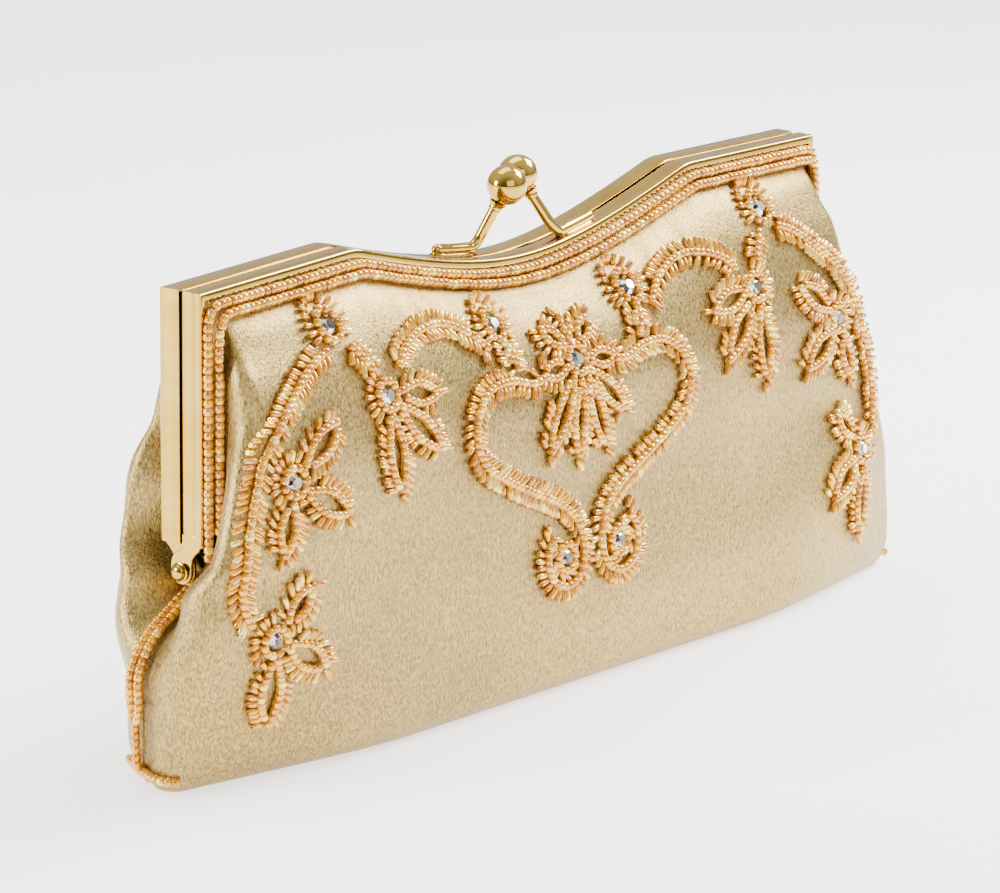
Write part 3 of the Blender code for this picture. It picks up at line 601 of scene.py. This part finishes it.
# Shares of gold, amber, pink and pale beads.
SEED_TINTS = (0.52, 0.25, 0.10, 0.13)
FRINGE_TINTS, RAY_TINTS = (0.56, 0.2, 0.1, 0.14), (0.5, 0.2, 0.12, 0.18)
FRAME_TINTS = (0.5, 0.24, 0.16, 0.10)


def pick_tint(shares=SEED_TINTS):
    return int(rng.choice(4, p=shares))


class Room:
    """Remembers where beads are sewn, so that none is pushed into another."""

    CELL = 1.5

    def __init__(self):
        self.cells = {}

    def near(self, point, distance):
        base = [int(v // self.CELL) for v in point]
        for i in (-1, 0, 1):
            for j in (-1, 0, 1):
                for k in (-1, 0, 1):
                    for other in self.cells.get((base[0] + i, base[1] + j, base[2] + k), ()):
                        if np.linalg.norm(other - point) < distance:
                            return True
        return False

    def claim(self, point):
        key = tuple(int(v // self.CELL) for v in point)
        self.cells.setdefault(key, []).append(point)


class Beads:
    """Collects beads of several kinds into one mesh."""

    def __init__(self, name):
        self.name = name
        self.points, self.faces, self.tints, self.count = [], [], [], 0

    def add(self, shape, place, along, out, tint, size=1.0):
        points, faces, caps = shape
        along = np.asarray(along, float)
        along /= np.linalg.norm(along)
        out = out - along * np.dot(out, along)
        out /= np.linalg.norm(out)
        axes = np.stack((along, np.cross(out, along), out))
        self.points.append(points * size @ axes + place)
        self.faces += [tuple(f) for f in faces + self.count]
        self.faces += [tuple(i + self.count for i in cap) for cap in caps]
        self.tints += [tint] * (len(faces) + len(caps))
        self.count += len(points)

    def build(self):
        item = make_mesh(self.name, np.concatenate(self.points), self.faces, BEAD_MATS, self.tints,
                         angle=0.9)
        return item


def along_route(points, spacing, start=0.0):
    """Places and directions at equal spacing along a 3-D polyline."""
    points = np.asarray(points, float)
    runs = np.linalg.norm(np.diff(points, axis=0), axis=1)
    total = np.concatenate(([0.0], np.cumsum(runs)))
    marks = np.arange(start + spacing / 2, total[-1] - spacing / 4, spacing)

    def at(marks):
        return np.stack([np.interp(marks, total, points[:, k]) for k in range(3)], axis=1)

    return at(marks), at(marks + 0.4) - at(marks - 0.4)


def satin_route(route):
    """A drawn (x, z) line as 3-D points on the satin."""
    return np.array([on_satin(x, z)[0] for x, z in smooth_path(route)])


room = Room()
SEED_CLEAR, BUGLE_CLEAR = 1.20, 0.88     # closest that bead centres may lie
fringes = []                              # bugles wait until every seed row is sewn


def sew_seed(beads, place, way, out):
    if room.near(place, SEED_CLEAR):
        return
    room.claim(place)
    beads.add(SEED, place, way, out, pick_tint(), rng.uniform(0.94, 1.07))


def sew_bugle(beads, place, aim, out, tints):
    """One bugle bead, if it has room along its whole length."""
    step = np.asarray(aim, float) / np.linalg.norm(aim) * BUGLE_LEN * 0.36
    spots = [place + step * k for k in (-1, 0, 1)]
    if any(room.near(spot, BUGLE_CLEAR) for spot in spots):
        return
    for spot in spots:
        room.claim(spot)
    beads.add(BUGLE, place, aim, out, pick_tint(tints), rng.uniform(0.90, 1.06))


def sew_line(beads, route, fringe=(1, 1), lean=0.45):
    """Row of seed beads on the satin, with bugle fringes on its left and right sides."""
    points = satin_route(route)
    places, ways = along_route(points, SEED_LEN * 0.96)
    for place, way in zip(places, ways):
        spot, out = on_satin(place[0], place[2])
        way = way + rng.normal(0, 0.06, 3) * np.linalg.norm(way)
        sew_seed(beads, spot + out * SEED_R, way, out)
    for side, share in zip((1, -1), fringe):
        if share:
            fringes.append((beads, points, side, lean))


def sew_fringe(beads, points, side, lean):
    """Bugles along one side of a seed row, leaning forwards by an angle."""
    places, ways = along_route(points, BUGLE_R * 1.95, rng.uniform(0, 0.6))
    for place, way in zip(places, ways):
        _, out = on_satin(place[0], place[2])
        way = way / np.linalg.norm(way)
        across = np.cross(out, way) * side
        turn = lean + rng.normal(0, 0.10)
        aim = across * cos(turn) + way * sin(turn)
        centre = place + aim * (SEED_R * 0.95 + BUGLE_LEN / 2)
        spot, out = on_satin(centre[0], centre[2])
        aim = aim + out * rng.uniform(0.02, 0.20)
        sew_bugle(beads, spot + out * BUGLE_R * rng.uniform(0.9, 1.2), aim, out, FRINGE_TINTS)


def leaf_route(base, tip, width):
    """Pointed loop from its base round the tip and back."""
    base, tip = np.array(base, float), np.array(tip, float)
    run = tip - base
    length = np.linalg.norm(run)
    run /= length
    side = np.array((-run[1], run[0]))
    stations = [(0.0, 0.10), (0.22, 0.62), (0.48, 1.0), (0.74, 0.74), (0.93, 0.26)]
    width *= 0.84
    left = [base + run * length * t + side * width * w for t, w in stations]
    right = [base + run * length * t - side * width * w for t, w in reversed(stations)]
    return left + [tip] + right


def sew_leaf(beads, base, tip, width):
    sew_line(beads, leaf_route(base, tip, width), (1, 0), lean=0.58)


def sew_ring(beads, x, z, fringe_from, fringe_to, radius=RING_R):
    """Ring of seed beads round a stone; its rays of bugles span an arc given in degrees."""
    count = int(2 * pi * radius / (SEED_LEN * 0.98))
    for k in range(count):
        a = 2 * pi * k / count
        spot, out = on_satin(x + radius * cos(a), z + radius * sin(a))
        sew_seed(beads, spot + out * SEED_R, np.array((-sin(a), 0.0, cos(a))), out)
    if fringe_to != fringe_from:
        fringes.append((beads, (x, z, radius), fringe_from, fringe_to))


def sew_rays(beads, ring, fringe_from, fringe_to):
    """Bugles that stand like rays round part of a ring."""
    x, z, radius = ring
    span = fringe_to - fringe_from
    steps = int(abs(span) / 360 * 2 * pi * (radius + 1.6) / (BUGLE_R * 1.9))
    for k in range(steps):
        a = radians(fringe_from + span * (k + 0.5) / steps) + rng.normal(0, 0.03)
        far = radius + SEED_R * 0.95 + BUGLE_LEN / 2
        spot, out = on_satin(x + far * cos(a), z + far * sin(a))
        aim = np.array((cos(a), 0.0, sin(a))) + out * rng.uniform(0.02, 0.2)
        sew_bugle(beads, spot + out * BUGLE_R, aim, out, RAY_TINTS)


def on_side(side, route, centre):
    """The drawn left route, or its mirror image for side 1."""
    return route if side < 0 else [(2 * centre - x, z) for x, z in route]


SIDES = (("left", -1), ("right", 1))
MIRROR_X, HEART_X = -1.0, -2.5
VINE_OUTER = [(-85.5, -16.5), (-91, -18.6), (-98, -23), (-105, -28.4), (-111, -35),
              (-114.6, -43), (-117.6, -52), (-119.4, -60), (-119.8, -66), (-117.5, -71)]
VINE_INNER = [(-65.5, -23.5), (-61.5, -20.2), (-55, -18), (-48, -17.6), (-41, -19.4),
              (-35.5, -22.6), (-31.5, -26)]
VINE_SHORT = [(-78.5, -16.5), (-75.5, -20), (-73, -23.5)]
HEART = [(-15.5, -34.8), (-20, -35.4), (-27, -33.6), (-35, -34), (-41, -38), (-43, -44),
         (-40.5, -50), (-33, -55), (-24, -59.4), (-15, -63.6), (-8.6, -68.4), (-5.9, -75),
         (-7.4, -81.4), (-12.6, -83.8), (-17.8, -81), (-19.2, -75), (-16, -70.6)]
# name: stone, arc of rays, leaves as (base, tip, half width)
CLUSTERS = {
    "top_flower": ((-82, -12), (-30, 215), []),
    "mid_leaves": ((-71, -28.5), (95, 235), [((-67, -28.6), (-53.8, -31.2), 2.6),
                                            ((-68, -31.5), (-55.4, -43.0), 2.8),
                                            ((-71.5, -32.5), (-70.2, -50.2), 2.9)]),
    "inner_flower": ((-26.5, -21.5), (-40, 200), [((-26.2, -25), (-23.6, -31.5), 0.9)]),
    "side_leaves": ((-103.5, -41.5), (60, 240), [((-100.2, -39), (-88.4, -31.0), 2.7),
                                                ((-100.5, -44), (-88.0, -51.0), 2.9),
                                                ((-104.8, -45.5), (-108.4, -56.6), 2.6)]),
    "low_leaves": ((-110.5, -75.5), (90, 230), [((-107.6, -72), (-100.8, -64.8), 2.4),
                                               ((-106.6, -77), (-94.6, -84.6), 3.0),
                                               ((-110, -79.5), (-107.6, -96.0), 3.0)]),
}
CENTRE_STONE = (HEART_X, -33)
CENTRE_LEAVES = [((-5, -29.6), (-11.4, -25.4), 1.8), ((0, -29.6), (6.4, -25.4), 1.8),
                 ((-2.5, -28.6), (-2.5, -23.6), 1.4), ((-6.4, -33.6), (-15.8, -34.4), 2.0),
                 ((1.4, -33.6), (10.8, -34.4), 2.0), ((-5.5, -36), (-17.4, -51.6), 2.5),
                 ((-3.6, -37), (-6.6, -54.8), 2.4), ((-1, -37), (4.4, -54.2), 2.4),
                 ((0.6, -36), (12.6, -47), 2.4)]
LOOP_STONE = (-12.4, -77)


def sew_cluster(beads, name, side):
    """Flower or leaf group; side -1 is the drawn left one and 1 its mirror."""
    stone, arc, leaves = CLUSTERS[name]
    place = on_side(side, [stone], MIRROR_X)[0]
    span = arc if side < 0 else (180 - arc[1], 180 - arc[0])
    sew_ring(beads, *place, *span)
    for base, tip, width in leaves:
        sew_leaf(beads, *on_side(side, [base, tip], MIRROR_X), width)
    return place


def set_stone(name, x, z):
    """Faceted round stone in its cup of seed beads; it stands for its CAD stone."""
    spot, out = on_satin(x, z)
    profile = [(0.0, STONE_R * 0.7), (0.5, STONE_R), (0.8, STONE_R), (1.55, STONE_R * 0.62),
               (1.8, STONE_R * 0.56)]
    stone = lathe(f"stone_{name}", profile, spot + out * 0.2, Vector(out), STONES, 10, 0.05)
    # Painted reflections: each facet takes a random bright, middle or dark stone material.
    for face in stone.data.polygons:
        face.material_index = int(rng.integers(0, 3))
    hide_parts(f"crystal_{name}")
    if FOLD_LOW < z < FOLD_HIGH:
        bend_with(stone)
    else:
        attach(stone, "pouch" if z < FOLD_LOW else "front_frame")


def sew_front():
    """All the embroidery on the front: stones' rings and seed rows first, then the bugles."""
    pieces, stones = [], [("centre", CENTRE_STONE)]
    for label, side in SIDES:
        for name in CLUSTERS:
            beads = Beads(f"{name}_{label}")
            stones.append((beads.name, sew_cluster(beads, name, side)))
            pieces.append(beads)
    centre = Beads("centre_flower")
    sew_ring(centre, *CENTRE_STONE, 0, 0)
    for base, tip, width in CENTRE_LEAVES:
        sew_leaf(centre, base, tip, width)
    pieces.append(centre)
    for label, side in SIDES:
        for name, routes, middle in (("heart", [HEART], HEART_X),
                                     ("inner_vine", [VINE_INNER, VINE_SHORT], MIRROR_X),
                                     ("outer_vine", [VINE_OUTER], MIRROR_X)):
            beads = Beads(f"{name}_{label}")
            if name == "heart":
                spot = on_side(side, [LOOP_STONE], HEART_X)[0]
                sew_ring(beads, *spot, 0, 0)
                stones.append((f"loop_{label}", spot))
            for route in routes:
                sew_line(beads, on_side(side, route, middle))
            pieces.append(beads)
    for beads, path, first, second in fringes:
        (sew_rays if isinstance(path, tuple) else sew_fringe)(beads, path, first, second)
    for beads in pieces:
        node = beads.name
        beads.name = f"beads_{node}"
        item = beads.build()
        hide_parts(node)
        bend_with(item)
    for name, spot in stones:
        set_stone(name, *spot)


def frame_strand(name, route):
    """Threaded row of the larger beads, each slightly out of line."""
    beads = Beads(name)
    places, ways = along_route(route, FRAME_BEAD_LEN * 1.02)
    for place, way in zip(places, ways):
        way = way / np.linalg.norm(way) + rng.normal(0, 0.035, 3)
        place = place + rng.normal(0, 0.05, 3)
        beads.add(FRAME_BEAD, place, way, np.array((0.0, -1.0, 0.2)), pick_tint(FRAME_TINTS),
                  rng.uniform(0.95, 1.03))
    return beads.build()


def frame_route(leg_x, leg_y, top_drop, top_y, end):
    """Up one leg of the front half, along its top bar and down the other leg."""
    side = [(-leg_x, -leg_y, z) for z in (end, -46, -36, -22, -top_drop - 5)]
    side += [(-leg_x + 0.9, -(leg_y + top_y) / 2, -top_drop - 2.2),
             (-leg_x + 3.2, -top_y, frame_top(leg_x) - top_drop)]
    xs = np.array([-98, -82, -70, -66, -63, -60, -55, -44, -30, -15, 0])
    top = [(x, -top_y, frame_top(x) - top_drop) for x in xs]
    half = side + top
    return smooth_path(half + [(-x, y, z) for x, y, z in reversed(half[:-1])], 10)


def sew_frame_rows():
    for name, args in (("outer", (113.8, 7.2, 3.1, 7.2, -60.0)),
                       ("inner", (112.0, 8.8, 5.2, 8.6, -54.0))):
        item = frame_strand(f"beads_frame_{name}", frame_route(*args))
        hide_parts(f"frame_beads_{name}")
        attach(item, "front_frame")


def seam_strand(beads, route, out):
    places, ways = along_route(route, SEED_LEN)
    for place, way in zip(places, ways):
        beads.add(SEED, place, way, np.array(out), pick_tint(), rng.uniform(0.95, 1.08))


def sew_seams():
    """Two strands side by side over each side seam, one across each bottom corner."""
    for label, side in SIDES:
        beads = Beads(f"beads_side_seam_{label}")
        drops = np.linspace(67.5, 106.5, 60)
        x = SEAM_REACH(drops)
        slope = np.gradient(x, drops)
        size = np.sqrt(1 + slope ** 2)
        for offset, last in ((-1.15, 96.0), (1.15, 107.0)):
            keep = drops <= last
            lift = 0.6 + SEED_R + 0.06 * (SIDE_REACH(drops) - x)
            shift = offset * (1 - fade(90, 97, drops))
            route = np.stack((side * (x + lift / size), askew(side * x, drops) + shift,
                              -drops + lift * slope / size), axis=1)[keep]
            seam_strand(beads, route, (side, 0.0, 0.3))
        seam_strand(beads, corner_route(side), (side, 0.0, -0.2))
        item = beads.build()
        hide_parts(f"side_seam_beads_{label}")
        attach(item, "pouch")


def corner_route(side):
    """Across the boxed bottom corner, from front to rear."""
    drop = np.array([106.6])
    route = []
    for rear, fractions in ((False, (0.8, 0.6, 0.4, 0.2)), (True, (0.0, 0.2, 0.4, 0.6))):
        x, depth = section(drop, rear, 0.0, (np.array(fractions), np.array([0.0])))
        for k in range(len(fractions)):
            y = depth[0, k] if rear else -depth[0, k]
            px = side * x[0, k]
            route.append((px + side * SEED_R, y + askew(px, drop[0]), -drop[0]))
    return smooth_path(route, 6)


# ---- frame ----
def frame_stations():
    """(kind, side, value) along one frame half."""
    legs = [-LEG_END, -50, -40, -30, -20, -10, -5]
    tops = np.concatenate((np.linspace(-112, -70, 10), np.linspace(-68, -58, 13),
                           np.linspace(-56, 0, 22)))
    tops = np.concatenate((tops, -tops[-2::-1]))
    return ([("leg", -1, z) for z in legs] + [("corner", -1, 0)] + [("top", x, 0) for x in tops]
            + [("corner", 1, 0)] + [("leg", 1, z) for z in reversed(legs)])


def rim_point(station, inset, y):
    """Point at a station, set in from the frame's outline."""
    kind, x, z = station
    if kind == "leg":
        return (x * (HALF_WIDTH - inset), y, z)
    if kind == "corner":
        return (x * (HALF_WIDTH - inset), y, frame_top(HALF_WIDTH) - inset)
    return (x, y, frame_top(x) - inset)


def front_profile():
    """(inset, depth) of the front half: crowned side, groove and rounded front strip."""
    crown = [(0.34 - 0.34 * sin(pi * k / 10) ** 0.6, HALF_GAP + 0.25 + 3.5 * k / 10)
             for k in range(11)]
    outer = [(0.75, HALF_GAP), (0.5, HALF_GAP)] + crown
    outer += [(0.5, 3.98), (0.42, 4.12), (0.12, 4.2), (0.0, 4.4), (0.0, 5.35), (0.06, 5.65),
              (0.2, 5.86), (0.42, 5.97)]
    return outer


def rear_profile():
    """(inset, depth) of the rear half's plain side with rounded edges."""
    return [(0.5, HALF_GAP), (0.15, HALF_GAP + 0.08), (0.0, HALF_GAP + 0.3),
            (0.0, 5.2), (0.08, 5.6), (0.25, 5.85), (0.5, 5.98)]


def frame_half(name, direction):
    """Pressed channel with rounded edges, lips and hinge ears."""
    front = direction < 0
    outer = front_profile() if front else rear_profile()
    rings = []
    for station in frame_stations():
        lip = LIP_TOP
        if station[0] == "leg":
            lip = LIP_LEG + (LIP_TOP - LIP_LEG) * fade(-12, 0, station[2])
        profile = outer + [(lip - 0.2, HALF_DEPTH), (lip, 5.85), (lip, 5.3), (0.8, 5.3),
                           (0.8, 0.95), (INNER_LIP, 0.95), (INNER_LIP, HALF_GAP)]
        rings.append([rim_point(station, inset, direction * y) for inset, y in profile])
    body = loft(name, rings, [GOLD], 0.6)
    join([body] + [ear(f"{name}_ear_{side + 1}", side, direction) for side in (-1, 1)])
    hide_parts(name.replace("gilt_", ""))
    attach(body, "front_frame" if front else "rear_frame")


def ear(name, side, direction):
    """Hinge ear: the leg's side plate narrows through curved shoulders to a round eye."""
    face = FRONT_EAR_X if direction < 0 else REAR_EAR_X
    left = [(-5.6, -54.5), (-5.6, -56.8), (-5.2, -57.8), (-4.0, -58.9), (-3.2, -60.0),
            (-2.95, -61.4)]
    eye = [(-EAR_HALF * cos(pi * k / 14), -HINGE_DROP - EAR_HALF * sin(pi * k / 14))
           for k in range(15)]
    right = [(2.9, -61.6), (2.6, -60.3), (1.8, -59.2), (0.5, -58.4), (-0.4, -57.8), (-0.4, -54.5)]
    rings = [[(side * x, -direction * y, z) for y, z in left + eye + right]
             for x in (face, face - EAR_SHEET)]
    item = loft(name, rings, [GOLD], 0.5)
    soften = item.modifiers.new("soften", "BEVEL")
    soften.width = 0.16 * MM
    soften.segments = 3
    soften.limit_method = "ANGLE"
    apply_modifiers(item)
    return item


def apply_modifiers(item):
    graph = bpy.context.evaluated_depsgraph_get()
    mesh = bpy.data.meshes.new_from_object(item.evaluated_get(graph))
    item.modifiers.clear()
    item.data = mesh


def join(parts):
    """Joins meshes into the first one."""
    with bpy.context.temp_override(active_object=parts[0], selected_editable_objects=parts):
        bpy.ops.object.join()


def rivets():
    """Domed rivet and its collar at each end of the hinge axis."""
    for label, side in SIDES:
        outer = HALF_WIDTH + 2.1
        dome = [(1.15 * (1 - cos(radians(a))), RIVET_HEAD * sin(radians(a)))
                for a in range(6, 91, 7)]
        profile = dome + [(1.35, RIVET_HEAD), (1.35, RIVET_SHANK), (5.0, RIVET_SHANK),
                          (5.0, 1.5), (5.5, 1.4), (5.6, 0.6)]
        head = lathe(f"rivet_{label}", profile, (side * outer, 0, -HINGE_DROP), (-side, 0, 0),
                     [GOLD])
        ring = [(0.0, 1.15), (0.0, 2.1), (0.1, 2.25), (0.3, 2.25), (0.4, 2.1), (0.4, 1.15)]
        washer = turned_ring(f"washer_{label}", ring, (side * (HALF_WIDTH + 0.2), 0, -HINGE_DROP),
                             (side, 0, 0))
        for item, node in ((head, f"hinge_rivet_{label}"), (washer, f"rivet_washer_{label}")):
            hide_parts(node)
            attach(item, "pouch")


def turned_ring(name, ring, start, axis, sides=40):
    """Closed ring turned about an axis from an (along, radius) outline."""
    axis, side, other = axes_about(axis)
    points = []
    for k in range(sides):
        a = 2 * pi * k / sides
        spoke = side * cos(a) + other * sin(a)
        points += [Vector(start) + axis * along + spoke * radius for along, radius in ring]
    count = len(ring)
    faces = [(k * count + c, k * count + (c + 1) % count,
              (k + 1) % sides * count + (c + 1) % count, (k + 1) % sides * count + c)
             for k in range(sides) for c in range(count)]
    return outward(make_mesh(name, np.array(points), faces, [GOLD], angle=0.7))


# ---- kiss-lock ----
# foot: both ends along X, and its depth
CLASP = {
    "front": dict(foot=(28.0, 15.4, -3.2), bend=(13.2, -2.9, -6.6), ball=(6.6, 2.2, 6.0)),
    "rear": dict(foot=(-23.4, -9.6, 3.2), bend=(-7.6, 2.9, -7.9), ball=(-3.1, -2.2, 5.6)),
}
BALL_R, WIRE_R = 4.7, 1.1


def clasp(which):
    """Bent round wire with a flared collar and a polished ball, soldered to its frame half."""
    spec = CLASP[which]
    ball = np.array(spec["ball"])
    start, end, depth = spec["foot"]
    xs = np.linspace(start, end, 7)
    foot = [(x, depth, frame_top(x) + WIRE_R + 0.15) for x in xs]
    bend = np.array(spec["bend"])
    up = (ball - bend) / np.linalg.norm(ball - bend)
    tip = ball - up * (BALL_R - 0.3)
    lead = np.array(foot[-1]) * 0.35 + bend * 0.65
    path = smooth_path(foot + [tuple(lead), tuple(bend + up * 1.2), tuple(bend + up * 4.0),
                               tuple(tip)], 6)
    radii = np.full(len(path), WIRE_R * 1.18)
    radii[:4] *= (0.35, 0.7, 0.9, 0.98)
    arm = tube(f"arm_{which}", path, radii, [GOLD], 24)
    join([arm, solder(f"solder_{which}", xs, depth)])
    collar = ball - up * (BALL_R + 1.9)
    ring = [(0.0, WIRE_R * 0.9), (0.0, 1.35), (0.35, 1.55), (0.9, 1.5), (1.5, 1.95), (1.95, 2.15),
            (2.1, 1.9), (2.1, WIRE_R * 0.9)]
    neck = turned_ring(f"collar_{which}", ring, collar, up)
    profile = [(BALL_R * (1 - cos(radians(a))), BALL_R * sin(radians(a))) for a in range(4, 177, 4)]
    sphere = lathe(f"ball_{which}", profile, ball - up * BALL_R, up, [GOLD], 64, None)
    for item, part in ((arm, "arm"), (neck, "collar"), (sphere, "ball")):
        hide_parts(f"clasp_{part}_{which}")
        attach(item, f"{which}_frame")


def solder(name, xs, y):
    """Low fillet of solder under the foot of an arm."""
    rings = []
    for k, x in enumerate(xs):
        z = frame_top(x)
        wide = 1.5 if 0 < k < len(xs) - 1 else 1.0
        turns = np.linspace(0, pi, 9)
        rings.append([(x, y + wide * cos(t), z - 0.1 + 0.75 * sin(t)) for t in turns])
    return loft(name, rings, [GOLD])


# ---- light and floor ----
def area_light(name, place, target, size, power, colour=(1.0, 1.0, 1.0)):
    data = bpy.data.lights.new(name, "AREA")
    data.shape = "RECTANGLE"
    data.size, data.size_y = size
    data.energy = power
    data.color = colour
    lamp = bpy.data.objects.new(name, data)
    bpy.context.scene.collection.objects.link(lamp)
    lamp.location = place
    lamp.rotation_euler = (Vector(target) - Vector(place)).to_track_quat("-Z", "Y").to_euler()


def sky(world):
    """Soft room: bright overhead and at the sides, dim low down and behind the viewer."""
    world.use_nodes = True
    tree = world.node_tree
    paint = tree.nodes["Background"]
    place = tree.nodes.new("ShaderNodeTexCoord")
    split = tree.nodes.new("ShaderNodeSeparateXYZ")
    tree.links.new(place.outputs["Generated"], split.inputs["Vector"])
    height = ramp_node(tree.nodes, [(0.02, (0.30, 0.28, 0.26)), (0.16, (1.15, 1.12, 1.08)),
                                    (0.60, grey(1.5))])
    tree.links.new(split.outputs["Z"], height.inputs["Fac"])
    towards = tree.nodes.new("ShaderNodeVectorMath")
    towards.operation = "DOT_PRODUCT"
    towards.inputs[1].default_value = (-0.79, -0.61, 0.0)
    tree.links.new(place.outputs["Generated"], towards.inputs[0])
    shade = ramp_node(tree.nodes, [(0.25, grey(1.0)), (0.85, (0.22, 0.21, 0.20))])
    tree.links.new(towards.outputs["Value"], shade.inputs["Fac"])
    both = tree.nodes.new("ShaderNodeMix")
    both.data_type, both.blend_type = "RGBA", "MULTIPLY"
    both.inputs["Factor"].default_value = 1.0
    tree.links.new(height.outputs["Color"], both.inputs["A"])
    tree.links.new(shade.outputs["Color"], both.inputs["B"])
    tree.links.new(both.outputs["Result"], paint.inputs["Color"])
    paint.inputs["Strength"].default_value = 0.8


def studio():
    world = bpy.data.worlds.new("studio")
    bpy.context.scene.world = world
    sky(world)
    middle = (0.0, 0.0, 0.07)
    area_light("key", (0.62, -0.20, 0.62), middle, (0.50, 0.36), 20.0, (1.0, 0.98, 0.95))
    area_light("top", (0.10, 0.30, 0.95), middle, (0.8, 0.5), 6.0)
    area_light("left", (-0.85, 0.50, 0.34), middle, (0.26, 0.34), 11.0)
    area_light("fill", (-0.50, -0.90, 0.50), middle, (0.8, 0.6), 3.5)
    shade = plain_material("floor_white", (0.93, 0.93, 0.93), (0.95, 0.95, 0.95), 0.7, 30.0)
    glow = shade.node_tree.nodes["Principled BSDF"]
    glow.inputs["Emission Color"].default_value = (1.0, 1.0, 1.0, 1.0)
    glow.inputs["Emission Strength"].default_value = 1.5
    size = 12000.0
    corners = [(-size, -size, -BAG_DROP), (size, -size, -BAG_DROP), (size, size, -BAG_DROP),
               (-size, size, -BAG_DROP)]
    floor = make_mesh("floor", corners, [(0, 1, 2, 3)], [shade])


def dress_hidden():
    """Cords in the channel keep their CAD shape."""
    for which in ("front", "rear"):
        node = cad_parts[f"{which}_packing_cord"]
        node.data.materials.clear()
        node.data.materials.append(PAPER)


def finish_cloth():
    for satin, lining, which in ((satin_front, lining_front, "front"),
                                 (satin_rear, lining_rear, "rear")):
        front = which == "front"
        outer = [f"{which}_panel", f"{which}_fold", f"{which}_interlining"]
        outer += ["lower_shell", "lower_interlining"] if front else []
        inner = [f"{which}_lining"] + (["lower_lining"] if front else [])
        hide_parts(*outer)
        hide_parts(*inner)
        for item in (satin, lining):
            bend_with(item)


sew_front()
sew_frame_rows()
sew_seams()
frame_half("gilt_frame_front", -1)
frame_half("gilt_frame_rear", 1)
rivets()
clasp("front")
clasp("rear")
dress_hidden()
finish_cloth()
studio()
